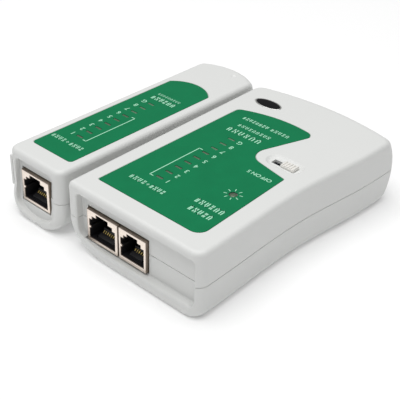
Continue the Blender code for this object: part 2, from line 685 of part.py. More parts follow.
def make_door(unit, bottom, finish):
    """Battery door: a T-section plate that slides out of the back of the lower shell."""
    half = DOOR_WIDTH / 2
    far = MASTER_LENGTH + 8.0
    opening = boxes("door_opening", ((DOOR_X - half - GAP, DOOR_FRONT + 1.6, -2.0),
                                     (DOOR_X + half + GAP, far, WALL + 0.5)))
    rails = boxes("door_rails", ((DOOR_X - half - DOOR_FLANGE - GAP, DOOR_FRONT + 1.3, WALL),
                                 (DOOR_X + half + DOOR_FLANGE + GAP, far, WALL + 1.6)))
    combine(bottom, cutter("door_opening", opening, unit))
    combine(bottom, cutter("door_rails", rails, unit))
    start = DOOR_FRONT + 1.6 + GAP
    plate = boxes("battery_door", ((DOOR_X - half, start, -1.0), (DOOR_X + half, far - 1, WALL + 0.8)))
    flange = boxes("door_flange", ((DOOR_X - half - DOOR_FLANGE, start, WALL + GAP),
                                   (DOOR_X + half + DOOR_FLANGE, far - 1, WALL + 1.3)))
    door = part("battery_door", plate, finish["case"], unit, place=(DOOR_X, BATTERY_Y, 0))
    combine(door, cutter("door_flange", flange, unit), "UNION")
    levels = [MASTER_SIDE_BOTTOM_RADIUS * (1 - math.cos(math.pi / 2 * i / 6)) for i in range(7)]
    hull = loft("door_hull", [master_ring(z, z) for z in levels])
    combine(door, cutter("door_hull", hull, unit), "INTERSECT")
    grips = [((DOOR_X - 8.0, 88.0 + 3.0 * i, -1.0), (DOOR_X + 8.0, 89.2 + 3.0 * i, 0.5)) for i in range(4)]
    combine(door, cutter("door_grips", boxes("door_grips", *grips), unit))


def make_master_electronics(unit, finish):
    jack_finishes = (finish["shield"], finish["insert"], finish["gold"])
    make_jack("rj45", RJ45_WIDTH, 8, RJ45_STEPS, (RJ45_X, MASTER_JACK_Y, MASTER_JACK_Z), unit, jack_finishes)
    make_jack("rj11", RJ11_WIDTH, 6, RJ11_STEPS, (RJ11_X, MASTER_JACK_Y, MASTER_JACK_Z), unit, jack_finishes)

    board_z, board_top = MASTER_BOARD_Z, MASTER_BOARD_Z + BOARD_THICKNESS
    front = FRONT_WALL + 0.6
    board_box = ((-24.6, front, board_z), (22.2, BOARD_BACK, board_top))
    board = part("master_board", boxes("master_board", board_box), finish["board"], unit, smooth=False)
    notches = [(x, y, board_z - 1, board_top + 1, BOSS_RADIUS) for x, y in MASTER_SCREWS]
    combine(board, cutter("board_notches", cylinders("board_notches", *notches), unit))
    make_leds("master", MASTER_LED_X, MASTER_LED_Y, MASTER_LED_PITCH, board_top, finish["led"], unit)
    foot = board_top + GAP
    px, py = POWER_LED
    profile = [(foot, POWER_LED_RADIUS + 0.4), (foot + 0.9, POWER_LED_RADIUS + 0.4),
               (foot + 0.9, POWER_LED_RADIUS), (LED_TOP - 0.5, POWER_LED_RADIUS),
               (LED_TOP - 0.15, 1.1), (LED_TOP, 0.5)]
    rings = [[Vector((x, y, z)) for x, y in circle(px, py, radius, 16)] for z, radius in profile]
    part("power_led", loft("power_led", rings), finish["led"], unit)

    frame_low, frame_high = board_top + GAP, CASE_HEIGHT - WALL - GAP
    a, b = SLOT_LENGTH / 2 + 1.6, SLOT_WIDTH / 2 + 1.4
    frame_box = ((SWITCH_X - a, SWITCH_Y - b, frame_low), (SWITCH_X + a, SWITCH_Y + b, frame_high))
    frame = part("switch_frame", boxes("switch_frame", frame_box), finish["steel"], unit, smooth=False)
    well = ((SWITCH_X - SLOT_LENGTH / 2 - 0.1, SWITCH_Y - SLOT_WIDTH / 2, frame_low + 0.6),
            (SWITCH_X + SLOT_LENGTH / 2 + 0.1, SWITCH_Y + SLOT_WIDTH / 2, frame_high + 1))
    combine(frame, cutter("switch_well", boxes("switch_well", well), unit))

    rest_x = SWITCH_X + SWITCH_TRAVEL / 2
    half_l, half_w = KNOB_LENGTH / 2, KNOB_WIDTH / 2
    low = frame_low + 0.9
    knob_box = ((rest_x - half_l, SWITCH_Y - half_w, low), (rest_x + half_l, SWITCH_Y + half_w, KNOB_TOP))
    knob = part("switch_knob", boxes("switch_knob", knob_box), finish["knob"], unit,
                place=(rest_x, SWITCH_Y, CASE_HEIGHT))
    grooves = []
    for i in range(3):
        x = rest_x - 1.6 + 1.3 * i
        grooves.append(((x, SWITCH_Y - 3, KNOB_TOP - 0.35), (x + 0.6, SWITCH_Y + 3, KNOB_TOP + 1)))
    combine(knob, cutter("knob_grooves", boxes("knob_grooves", *grooves), unit))

    for name, (x, y), (length, width) in CHIPS:
        body = boxes(name, ((x - length / 2, y - width / 2, board_z - GAP - CHIP_HEIGHT),
                            (x + length / 2, y + width / 2, board_z - GAP)))
        part(name, body, finish["insert"], unit, smooth=False)
    can_top = board_z - GAP
    can = cylinders("capacitor", (*CAPACITOR, can_top - CAPACITOR_HEIGHT, can_top, CAPACITOR_RADIUS))
    part("capacitor", can, finish["capacitor"], unit)
    make_battery(unit, finish, board_z)


def make_battery(unit, finish, board_z):
    """A 9 V block lying across the back, its two studs to the left, with a snap and two leads."""
    length, width, height = BATTERY_SIZE
    low = (BATTERY_X - length / 2, BATTERY_Y - width / 2, BATTERY_Z)
    high = (BATTERY_X + length / 2, BATTERY_Y + width / 2, BATTERY_Z + height)
    battery = part("battery", boxes("battery", (low, high)), finish["battery"], unit)
    edge = battery.modifiers.new("Rounded edges", "BEVEL")
    edge.width = 1.6 * MM
    edge.segments = 2
    middle_z = BATTERY_Z + height / 2
    studs = bmesh.new()
    lying = Matrix.Rotation(math.pi / 2, 4, "Y")
    for side in (-STUD_SPREAD, STUD_SPREAD):
        place = Matrix.Translation((low[0] - STUD_HEIGHT / 2 + 0.5, BATTERY_Y + side, middle_z)) @ lying
        bmesh.ops.create_cone(studs, cap_ends=True, segments=16, radius1=STUD_RADIUS, radius2=STUD_RADIUS,
                              depth=STUD_HEIGHT + 1.0, matrix=place)
    combine(battery, cutter("battery_studs", mesh_from(studs, "battery_studs"), unit), "UNION")

    snap_face = low[0] - GAP
    snap_back = snap_face - SNAP_LENGTH
    snap_front = BATTERY_Y - SNAP_WIDTH / 2
    snap_box = ((snap_back, snap_front, middle_z - SNAP_HEIGHT / 2),
                (snap_face, snap_front + SNAP_WIDTH, middle_z + SNAP_HEIGHT / 2))
    snap = part("battery_snap", boxes("battery_snap", snap_box), finish["insert"], unit)
    cups = bmesh.new()
    cup_radius = STUD_RADIUS + 0.4
    for side in (-STUD_SPREAD, STUD_SPREAD):
        place = Matrix.Translation((snap_face - 1.4, BATTERY_Y + side, middle_z)) @ lying
        bmesh.ops.create_cone(cups, cap_ends=True, segments=16, radius1=cup_radius, radius2=cup_radius,
                              depth=5.0, matrix=place)
    combine(snap, cutter("snap_cups", mesh_from(cups, "snap_cups"), unit))

    for name, shift in (("battery_lead_red", 1.2), ("battery_lead_black", 3.9)):
        start = Vector((snap_back + shift, snap_front - 2 * GAP, middle_z))
        end = Vector((snap_back + shift, BOARD_BACK + 2 * GAP, board_z + BOARD_THICKNESS / 2))
        out = Vector((0, 2.4, 0))
        make_lead(name, (start, start - out, end + out, end), finish[name], unit)


def make_lead(name, handles, finish, unit):
    """A thin wire along a smooth cubic between its two ends."""
    curve = bpy.data.curves.new(name, "CURVE")
    curve.dimensions = "3D"
    curve.bevel_depth = LEAD_RADIUS * MM
    curve.bevel_resolution = 2
    curve.render_resolution_u = 0
    curve.use_fill_caps = True
    steps = 10
    spline = curve.splines.new("POLY")
    spline.points.add(steps)
    a, b, c, d = handles
    for i, point in enumerate(spline.points):
        t = i / steps
        at = a * (1 - t) ** 3 + b * 3 * t * (1 - t) ** 2 + c * 3 * t * t * (1 - t) + d * t ** 3
        point.co = (*(at * MM), 1.0)
    made = bpy.data.objects.new(name, curve)
    curve.materials.append(finish)
    made.parent = unit
    PARTS.objects.link(made)


# ---- remote unit --------------------------------------------------------------------------
def remote_opening_outline():
    """Opening round the remote's jack: round-cornered above, a wide scoop below."""
    half, low, scoop = 10.7, 8.6, 6.2
    center = -0.3
    arc = []
    for i in range(1, 12):
        angle = math.pi + math.pi * i / 12
        arc.append((center + half * math.cos(angle), low + scoop * math.sin(angle), 0.0))
    corners = [(center + half, RECESS_TOP, 2.4), (center - half, RECESS_TOP, 2.4), (center - half, low, 0.0)]
    return rounded(corners + arc + [(center + half, low, 0.0)])


def make_remote(unit, finish):
    front_wall = 6.4
    top_mesh = top_shell_mesh("remote_top_shell", remote_ring, front_wall)
    top = part("remote_top_shell", top_mesh, finish["case"], unit)
    bottom_mesh = bottom_shell_mesh("remote_bottom_shell", remote_ring, front_wall, REMOTE_BOTTOM_RADIUS)
    bottom = part("remote_bottom_shell", bottom_mesh, finish["case"], unit)
    seam_low, seam_high = SEAM_HEIGHT - SEAM_GAP / 2, SEAM_HEIGHT + SEAM_GAP / 2
    outer = -REMOTE_HALF_WIDTH - RAIL_STANDOFF
    rail_top = RAIL_BOTTOM + RAIL_HEIGHT
    middle = RAIL_BOTTOM + RAIL_HEIGHT / 2
    for shell, low, high, web in ((bottom, RAIL_BOTTOM, seam_low, (middle - 2.6, seam_low)),
                                  (top, seam_high, rail_top, (seam_high, middle + 2.6))):
        plate = ((outer - RAIL_THICKNESS, RAIL_START, low), (outer, RAIL_END, high))
        rib = ((outer - 0.5, RAIL_START + 1.0, web[0]), (-REMOTE_HALF_WIDTH + 1.0, RAIL_END - 1.0, web[1]))
        plate_tool = cutter(shell.name + "_rail", boxes(shell.name + "_rail", plate), unit)
        rib_tool = cutter(shell.name + "_rail_web", boxes(shell.name + "_rail_web", rib), unit)
        combine(shell, rib_tool, "UNION")
        combine(shell, plate_tool, "UNION")
    make_screws("remote", REMOTE_SCREWS, top, bottom, unit, finish["steel"])

    opening = prism("remote_opening", [remote_opening_outline()], -2.0, 4.3, upright=True)
    opening_tool = cutter("remote_opening", opening, unit)
    half = RJ45_WIDTH / 2 + JACK_GAP
    window = boxes("remote_jack_window", ((REMOTE_JACK_X - half, -2.0, REMOTE_JACK_Z - GAP),
                                          (REMOTE_JACK_X + half, REMOTE_JACK_Y + JACK_DEPTH + 1,
                                           REMOTE_JACK_Z + JACK_HEIGHT + 0.5)))
    window_tool = cutter("remote_jack_window", window, unit)
    for shell in (top, bottom):
        combine(shell, opening_tool)
        combine(shell, window_tool)
    windows = led_windows(REMOTE_LED_X, REMOTE_LED_Y, REMOTE_LED_PITCH)
    combine(top, cutter("remote_led_windows", boxes("remote_led_windows", *windows), unit))
    recess_floor = CASE_HEIGHT - LABEL_RECESS
    pocket = prism("remote_label_pocket", [remote_label_outline(0.2)], recess_floor, CASE_HEIGHT + 1)
    combine(top, cutter("remote_label_pocket", pocket, unit))
    low = recess_floor + 0.1
    loops = [remote_label_outline()] + window_loops(windows)
    label = prism("remote_label", loops, low, low + LABEL_THICKNESS)
    part("remote_label", label, finish["label"], unit, smooth=False)
    make_jack("remote_rj45", RJ45_WIDTH, 8, RJ45_STEPS, (REMOTE_JACK_X, REMOTE_JACK_Y, REMOTE_JACK_Z), unit,
              (finish["shield"], finish["insert"], finish["gold"]))
    board_top = REMOTE_BOARD_Z + BOARD_THICKNESS
    board_box = ((-11.2, front_wall + REMOTE_CHIN + 0.6, REMOTE_BOARD_Z), (11.2, 68.0, board_top))
    board = part("remote_board", boxes("remote_board", board_box), finish["board"], unit, smooth=False)
    x, y = REMOTE_SCREWS[0]
    hole = cylinders("remote_board_hole", (x, y, REMOTE_BOARD_Z - 1, board_top + 1, BOSS_RADIUS))
    combine(board, cutter("remote_board_hole", hole, unit))
    make_leds("remote", REMOTE_LED_X, REMOTE_LED_Y, REMOTE_LED_PITCH, board_top, finish["led"], unit)


# ---- the whole set ------------------------------------------------------------------------
def empty_at(name, place):
    made = bpy.data.objects.new(name, None)
    made.location = (place[0] * MM, place[1] * MM, 0.0)
    PARTS.objects.link(made)
    return made


def main():
    global PARTS, CUTTERS
    for old in list(bpy.data.objects):
        bpy.data.objects.remove(old)
    scene = bpy.context.scene
    PARTS = bpy.data.collections.new("network_cable_tester")
    CUTTERS = bpy.data.collections.new("cutters")
    scene.collection.children.link(PARTS)
    scene.collection.children.link(CUTTERS)
    finish = {
        "case": material("case_plastic", (0.72, 0.72, 0.70), 0.45),
        "label": material("label_print", (0.01, 0.22, 0.09), 0.40),
        "badge": material("badge_black", (0.02, 0.02, 0.02), 0.25),
        "shield": material("shield_nickel", (0.72, 0.66, 0.58), 0.32, 1.0),
        "insert": material("black_plastic", (0.015, 0.015, 0.017), 0.50),
        "gold": material("contact_gold", (0.85, 0.62, 0.20), 0.25, 1.0),
        "board": material("board_laminate", (0.02, 0.14, 0.06), 0.55),
        "led": material("led_lens", (0.25, 0.17, 0.12), 0.35),
        "knob": material("knob_plastic", (0.78, 0.74, 0.66), 0.50),
        "steel": material("plated_steel", (0.60, 0.60, 0.62), 0.35, 1.0),
        "battery": material("battery_jacket", (0.08, 0.08, 0.10), 0.35),
        "capacitor": material("capacitor_sleeve", (0.03, 0.04, 0.12), 0.40),
        "battery_lead_red": material("lead_red", (0.55, 0.02, 0.02), 0.45),
        "battery_lead_black": material("lead_black", (0.02, 0.02, 0.02), 0.45),
    }
    make_master(empty_at("master_unit", MASTER_PLACE), finish)
    make_remote(empty_at("remote_unit", REMOTE_PLACE), finish)


main()
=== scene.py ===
"""Looks of the network cable tester: master unit and detachable remote, on a white table.

Lengths in the helpers are millimetres in each unit's own frame (x = 0 on its middle plane, y = 0
at its socket end, z = 0 on the table).  Meshes are moved to the shared frame and scaled to metres
when a piece is made.
"""

import math

import bmesh
import bpy
from mathutils import Matrix, Vector


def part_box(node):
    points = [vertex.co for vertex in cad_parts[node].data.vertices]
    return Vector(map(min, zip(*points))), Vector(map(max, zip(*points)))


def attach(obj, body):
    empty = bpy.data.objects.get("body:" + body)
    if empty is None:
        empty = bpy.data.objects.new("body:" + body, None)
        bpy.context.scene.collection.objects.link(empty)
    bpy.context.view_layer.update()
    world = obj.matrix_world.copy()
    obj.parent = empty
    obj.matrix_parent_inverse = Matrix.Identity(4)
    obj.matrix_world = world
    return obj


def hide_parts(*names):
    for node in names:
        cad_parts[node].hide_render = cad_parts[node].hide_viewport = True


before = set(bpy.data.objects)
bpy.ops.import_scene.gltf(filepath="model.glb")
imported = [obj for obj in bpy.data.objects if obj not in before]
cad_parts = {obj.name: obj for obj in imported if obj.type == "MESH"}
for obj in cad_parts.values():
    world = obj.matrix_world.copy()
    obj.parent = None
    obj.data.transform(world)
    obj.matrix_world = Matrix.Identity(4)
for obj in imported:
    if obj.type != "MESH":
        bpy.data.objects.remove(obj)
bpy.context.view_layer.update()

MM = 0.001
MASTER = Vector((17.55, -57.75, 0.0))
REMOTE = Vector((-33.75, -59.25, 0.0))

# Both cases.  The seam's gap, the plinth and the rolled top edge are finer here than in the CAD.
CASE_HEIGHT, SEAM_HEIGHT, WALL = 27.8, 13.8, 2.0
SEAM_GAP, PLINTH_HEIGHT, TOP_EDGE_RADIUS = 0.08, 0.45, 2.1
SEAM_LOW, SEAM_HIGH = SEAM_HEIGHT - SEAM_GAP / 2, SEAM_HEIGHT + SEAM_GAP / 2
CEILING = CASE_HEIGHT - WALL

# Master's case.  Half its width is taken at the front, and the hull draws in its lower left side.
MASTER_HALF_WIDTH, MASTER_BACK, MASTER_WAIST, MASTER_FLARE, MASTER_TAPER = 32.0, 116.92, 1.4, 1.9, 1.5
MASTER_LOWER_EDGE, MASTER_FRONT_EDGE, FRONT_WALL = 4.6, 1.8, 5.2
HULL_WIDTH, HULL_HEIGHT, HULL_START, HULL_END = 24.0, 12.6, 12.0, 74.0
DOOR_X, DOOR_HALF_WIDTH = 2.0, 23.0

# Remote's case
REMOTE_HALF_WIDTH, REMOTE_BACK, REMOTE_BACK_RADIUS = 14.8, 116.5, 24.0
REMOTE_LOWER_EDGE, REMOTE_BACK_EDGE, REMOTE_FRONT_EDGE, REMOTE_FRONT_WALL = 10.0, 4.6, 2.0, 6.4

# Jacks.  A window narrows towards its latch in steps of (inset from the side, height of the step).
JACK_HEIGHT, JACK_DEPTH, RJ45_WIDTH, RJ11_WIDTH = 13.4, 21.0, 16.0, 13.7
RJ45_STEPS, RJ45_BOTTOM = ((1.4, 9.5), (2.8, 10.9), (5.0, 12.4)), 1.5
RJ11_STEPS, RJ11_BOTTOM = ((1.15, 9.6), (2.6, 10.9), (4.3, 12.2)), 1.9
SHEET, WIRE_PITCH, WIRE_RADIUS = 0.35, 1.02, 0.22
RJ45_PLACE = Vector((-16.4, 2.0, 5.5))
RJ11_PLACE = Vector((-1.15, 2.0, 5.5))
REMOTE_JACK_PLACE = Vector((-1.2, 2.9, 6.4))

# Labels and what shows through them.  A row of indicators is its x, first y and pitch.
LABEL_TOP, LABEL_UNDERSIDE, LABEL_FLOOR = 27.75, 27.45, 27.35
PRINT_HEIGHT = 0.024
LED_LENGTH, LED_WIDTH, LED_TOP, LED_COUNT = 3.8, 1.5, 27.65, 9
BAR_LENGTH, BAR_WIDTH = 3.2, 0.95
MASTER_LEDS = (-10.6, 24.9, 4.85)
REMOTE_LEDS = (-1.3, 25.6, 4.75)
POWER_LED = (15.4, 34.9)
SWITCH, SWITCH_TRAVEL = (15.2, 63.9), 4.6
BADGE, BADGE_RADIUS, BADGE_STRETCH = (-19.4, 96.6), 3.2, 12.6 / 6.4
MASTER_SCREWS = ((-23.2, 33.0), (26.2, 14.5), (-26.6, 73.5), (25.8, 73.5))
REMOTE_SCREWS = ((6.6, 34.5), (0.0, 98.0))
SEAT_HEIGHT = 9.2  # where the screw heads rest

CUT, JOIN = "DIFFERENCE", "UNION"
CASE_SHARP = 32  # degrees; edges sharper than this stay hard


# ---- materials ----------------------------------------------------------------------------
def finish(name, color, roughness, metallic=0.0, variation=0.03, blotch=45.0, grain=2600.0, bump=0.15,
           depth=0.00003, rough_span=0.08, stretch=(1, 1, 1), other=None, **sockets):
    """A procedural material: soft colour drift, fine surface grain and uneven gloss."""
    made = bpy.data.materials.new(name)
    made.use_nodes = True
    tree = made.node_tree
    new, link = tree.nodes.new, tree.links.new
    shader = tree.nodes["Principled BSDF"]
    shader.inputs["Metallic"].default_value = metallic
    for key, value in sockets.items():
        shader.inputs[key.replace("_", " ")].default_value = value

    place = new("ShaderNodeTexCoord")
    drift = new("ShaderNodeTexNoise")
    drift.inputs["Scale"].default_value = blotch
    drift.inputs["Detail"].default_value = 4.0
    link(place.outputs["Object"], drift.inputs["Vector"])
    tint = new("ShaderNodeMix")
    tint.data_type = "RGBA"
    shade = other or [c * (1 - variation) for c in color]
    tint.inputs["A"].default_value = (*[min(c * (1 + variation), 1.0) for c in color], 1.0)
    tint.inputs["B"].default_value = (*shade, 1.0)
    link(drift.outputs["Fac"], tint.inputs["Factor"])
    link(tint.outputs["Result"], shader.inputs["Base Color"])

    mapping = new("ShaderNodeMapping")
    mapping.inputs["Scale"].default_value = stretch
    link(place.outputs["Object"], mapping.inputs["Vector"])
    fine = new("ShaderNodeTexNoise")
    fine.inputs["Scale"].default_value = grain
    fine.inputs["Detail"].default_value = 3.0
    link(mapping.outputs["Vector"], fine.inputs["Vector"])
    gloss = new("ShaderNodeMapRange")
    gloss.inputs["To Min"].default_value = max(roughness - rough_span, 0.02)
    gloss.inputs["To Max"].default_value = min(roughness + rough_span, 1.0)
    link(fine.outputs["Fac"], gloss.inputs["Value"])
    link(gloss.outputs["Result"], shader.inputs["Roughness"])
    relief = new("ShaderNodeBump")
    relief.inputs["Strength"].default_value = bump
    relief.inputs["Distance"].default_value = depth
    link(fine.outputs["Fac"], relief.inputs["Height"])
    link(relief.outputs["Normal"], shader.inputs["Normal"])
    return made


CASE = finish("moulded_abs", (0.735, 0.742, 0.728), 0.42, variation=0.012, grain=2400.0, bump=0.25,
              Specular_IOR_Level=0.45)
GREEN = finish("label_film", (0.002, 0.185, 0.070), 0.38, variation=0.10, blotch=160.0, grain=1500.0,
               bump=0.10, rough_span=0.05, Specular_IOR_Level=0.22)
MINT = finish("label_print", (0.40, 0.78, 0.56), 0.45, variation=0.05, grain=2000.0, bump=0.05)
BLACK_GLOSS = finish("badge_lacquer", (0.006, 0.006, 0.007), 0.30, variation=0.2, bump=0.05,
                     Specular_IOR_Level=0.2)
RIM = finish("badge_rim", (0.62, 0.62, 0.60), 0.28, metallic=0.8, bump=0.05)
NICKEL = finish("plated_sheet", (0.86, 0.76, 0.68), 0.30, metallic=1.0, variation=0.05, blotch=220.0,
                grain=900.0, bump=0.22, rough_span=0.12, stretch=(1, 1, 7))
# Darker copy of the plated sheet: painted shade for the shield faces that do not face the front
NICKEL_PAINTED_SHADE = finish("plated_sheet_painted_shade", (0.26, 0.21, 0.17), 0.42, metallic=0.8, variation=0.1, blotch=220.0,
                     grain=900.0, bump=0.22, rough_span=0.1)
NYLON = finish("black_nylon", (0.012, 0.012, 0.014), 0.42, variation=0.2, bump=0.2)
GOLD = finish("contact_gold", (1.0, 0.74, 0.26), 0.38, metallic=0.55, bump=0.05, rough_span=0.05)
LENS = finish("led_lens", (0.085, 0.125, 0.075), 0.34, variation=0.15, blotch=600.0, bump=0.05,
              Coat_Weight=0.3)
LENS_PALE = finish("led_lens_pale", (0.10, 0.19, 0.11), 0.34, variation=0.10, blotch=600.0, bump=0.05,
                   Coat_Weight=0.3)
KNOB = finish("knob_plastic", (0.80, 0.785, 0.745), 0.45, variation=0.02, bump=0.2)
STEEL = finish("plated_steel", (0.56, 0.57, 0.60), 0.30, metallic=1.0, variation=0.05, bump=0.2,
               rough_span=0.1)
BOARD = finish("solder_mask", (0.012, 0.12, 0.045), 0.35, other=(0.02, 0.19, 0.08), blotch=420.0, bump=0.3,
               grain=700.0)
CHIP = finish("chip_epoxy", (0.02, 0.02, 0.022), 0.55, variation=0.2, bump=0.3, grain=1500.0)
JACKET = finish("battery_jacket", (0.055, 0.055, 0.065), 0.28, variation=0.1, bump=0.08, metallic=0.3)
SLEEVE = finish("capacitor_sleeve", (0.015, 0.02, 0.10), 0.25, variation=0.15, bump=0.08)
RED = finish("lead_red", (0.50, 0.015, 0.012), 0.40, variation=0.1, bump=0.1)
BLACK = finish("lead_black", (0.012, 0.012, 0.012), 0.40, variation=0.2, bump=0.1)


# ---- mesh helpers -------------------------------------------------------------------------
def smoothstep(low, high, value):
    t = min(max((value - low) / (high - low), 0.0), 1.0)
    return t * t * (3 - 2 * t)


def from_bmesh(bm):
    bmesh.ops.recalc_face_normals(bm, faces=bm.faces)
    mesh = bpy.data.meshes.new("mesh")
    bm.to_mesh(mesh)
    bm.free()
    return mesh


def loft(rings):
    """Skin a row of rings with equal point counts, capped at both ends."""
    bm = bmesh.new()
    loops = [[bm.verts.new(p) for p in ring] for ring in rings]
    count = len(rings[0])
    for lower, upper in zip(loops, loops[1:]):
        for i in range(count):
            j = (i + 1) % count
            bm.faces.new((lower[i], lower[j], upper[j], upper[i]))
    bm.faces.new(list(reversed(loops[0])))
    bm.faces.new(loops[-1])
    return from_bmesh(bm)


def soft_box(bm, low, high, radius=0.0, segments=2):
    """Add a box with rounded edges to a bmesh."""
    center = (Vector(low) + Vector(high)) / 2
    size = Vector(high) - Vector(low)
    matrix = Matrix.Translation(center) @ Matrix.Diagonal((*size, 1.0))
    made = bmesh.ops.create_cube(bm, size=1.0, matrix=matrix)
    if radius > 0:
        edges = list({e for v in made["verts"] for e in v.link_edges})
        bmesh.ops.bevel(bm, geom=edges, offset=radius, segments=segments, profile=0.5, affect="EDGES")


def box_mesh(*pairs, radius=0.0):
    """Boxes given by their low and high corners, in one mesh."""
    bm = bmesh.new()
    for low, high in pairs:
        soft_box(bm, low, high, radius)
    return from_bmesh(bm)


def cylinder_mesh(*rows, sides=40):
    bm = bmesh.new()
    for x, y, low, high, radius in rows:
        bmesh.ops.create_cone(bm, cap_ends=True, segments=sides, radius1=radius, radius2=radius,
                              depth=high - low, matrix=Matrix.Translation((x, y, (low + high) / 2)))
    return from_bmesh(bm)


def fillet(before, corner, after, radius, steps=10):
    """Points of a circular arc that rounds a corner."""
    corner = Vector(corner)
    to_before = (Vector(before) - corner).normalized()
    to_after = (Vector(after) - corner).normalized()
    half = to_before.angle(to_after) / 2
    reach = radius / math.tan(half)
    start, end = corner + to_before * reach, corner + to_after * reach
    weight = math.sin(half)
    points = []
    for i in range(steps + 1):
        t = i / steps
        a, b, c = (1 - t) ** 2, 2 * t * (1 - t) * weight, t * t
        points.append((start * a + corner * b + end * c) / (a + b + c))
    return points


def rounded(corners, steps=8):
    """Closed outline through corners of x, y and radius."""
    outline = []
    for i, (x, y, radius) in enumerate(corners):
        before, after = corners[i - 1][:2], corners[(i + 1) % len(corners)][:2]
        if radius > 0:
            outline += [tuple(p) for p in fillet(before, (x, y), after, radius, steps)]
        else:
            outline.append((x, y))
    return outline


def offset(outline, grow):
    """Move a closed outline outwards by a small amount."""
    area = sum(a[0] * b[1] - b[0] * a[1] for a, b in zip(outline, outline[1:] + outline[:1]))
    side = 1 if area > 0 else -1
    moved = []
    for i, point in enumerate(outline):
        here = Vector(point)
        back, ahead = here - Vector(outline[i - 1]), Vector(outline[(i + 1) % len(outline)]) - here
        if back.length < 1e-6:
            back = ahead
        if ahead.length < 1e-6:
            ahead = back
        n1 = Vector((back.y, -back.x)).normalized()
        n2 = Vector((ahead.y, -ahead.x)).normalized()
        n = (n1 + n2).normalized()
        moved.append(tuple(here + n * side * grow / max(n.dot(n1), 0.5)))
    return moved


def circle(x, y, radius, sides=40, stretch=1.0):
    angles = [2 * math.pi * i / sides for i in range(sides)]
    return [(x + stretch * radius * math.cos(a), y + radius * math.sin(a)) for a in angles]


def stadium(x, y, length, width, steps=16):
    half, radius = length / 2 - width / 2, width / 2
    outline = []
    for center, start in ((x + half, -math.pi / 2), (x - half, math.pi / 2)):
        for i in range(steps + 1):
            angle = start + math.pi * i / steps
            outline.append((center + radius * math.cos(angle), y + radius * math.sin(angle)))
    return outline


def flat_mesh(outlines, low, high):
    """Extrude flat outlines along Z; those after the first are holes."""
    curve = bpy.data.curves.new("outline", "CURVE")
    curve.dimensions = "2D"
    curve.fill_mode = "BOTH"
    curve.extrude = (high - low) / 2
    for outline in outlines:
        spline = curve.splines.new("POLY")
        spline.points.add(len(outline) - 1)
        for point, (u, v) in zip(spline.points, outline):
            point.co = (u, v, 0.0, 1.0)
        spline.use_cyclic_u = True
    return mesh_of_curve(curve, Matrix.Translation((0, 0, (low + high) / 2)))


def mesh_of_curve(curve, matrix):
    guide = bpy.data.objects.new("guide", curve)
    bpy.context.scene.collection.objects.link(guide)
    bpy.context.view_layer.update()
    mesh = bpy.data.meshes.new_from_object(guide.evaluated_get(bpy.context.evaluated_depsgraph_get()))
    bpy.data.objects.remove(guide)
    bpy.data.curves.remove(curve)
    bm = bmesh.new()
    bm.from_mesh(mesh)
    bpy.data.meshes.remove(mesh)
    bmesh.ops.remove_doubles(bm, verts=bm.verts, dist=0.001)
    bmesh.ops.transform(bm, matrix=matrix, verts=bm.verts)
    return from_bmesh(bm)


def flat_front(z):
    """The plane y = 0, as a surface for well()."""
    return 0.0


def well(outline, profile, surface=None):
    """A cutter that sinks an outline along Y or Z: rows of depth and growth shape its lips.

    With surface given, the outline is in XZ and each point starts from surface(z) along Y.
    Otherwise it is in XY and depths are heights.
    """
    rings = []
    for depth, grow in profile:
        points = offset(outline, grow) if grow else outline
        if surface:
            rings.append([Vector((u, surface(v) + depth, v)) for u, v in points])
        else:
            rings.append([Vector((u, v, depth)) for u, v in points])
    return loft(rings)


def carve(mesh, *steps):
    """Apply a row of (operation, cutter mesh) booleans and return the result."""
    body = bpy.data.objects.new("body", mesh)
    bpy.context.scene.collection.objects.link(body)
    tools = []
    for operation, tool_mesh in steps:
        tool = bpy.data.objects.new("tool", tool_mesh)
        bpy.context.scene.collection.objects.link(tool)
        tools.append(tool)
        step = body.modifiers.new("step", "BOOLEAN")
        step.operation, step.solver, step.object = operation, "MANIFOLD", tool
    bpy.context.view_layer.update()
    result = bpy.data.meshes.new_from_object(body.evaluated_get(bpy.context.evaluated_depsgraph_get()))
    for used in [body] + tools:
        bpy.data.objects.remove(used)
    return result


def piece(name, mesh, material, body, place, replaces=(), smooth=35.0, weighted=False):
    """Make a visible piece from a mesh in millimetres in its unit's frame.

    smooth is the angle in degrees above which edges stay hard, or 0 for flat faces.
    """
    mesh.transform(Matrix.Scale(MM, 4) @ Matrix.Translation(place))
    mesh.materials.clear()
    mesh.materials.append(material)
    if smooth:
        mesh.shade_smooth()
        mesh.set_sharp_from_angle(angle=math.radians(smooth))
    made = bpy.data.objects.new(name, mesh)
    bpy.context.scene.collection.objects.link(made)
    if weighted:
        step = made.modifiers.new("even shading", "WEIGHTED_NORMAL")
        step.keep_sharp = True
    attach(made, body)
    if replaces:
        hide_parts(*replaces)
    return made


# ---- case outlines ------------------------------------------------------------------------
def edge_inset(height, radius):
    """How far a lower edge of this radius draws in at a height."""
    if height >= radius:
        return 0.0
    return radius - math.sqrt(max(radius ** 2 - (radius - max(height, 0.0)) ** 2, 0.0))


def top_inset(z):
    """How far the rolled top edge draws in at a height."""
    above = z - (CASE_HEIGHT - TOP_EDGE_RADIUS)
    if above <= 0:
        return 0.0
    return TOP_EDGE_RADIUS - math.sqrt(max(TOP_EDGE_RADIUS ** 2 - above ** 2, 0.0))


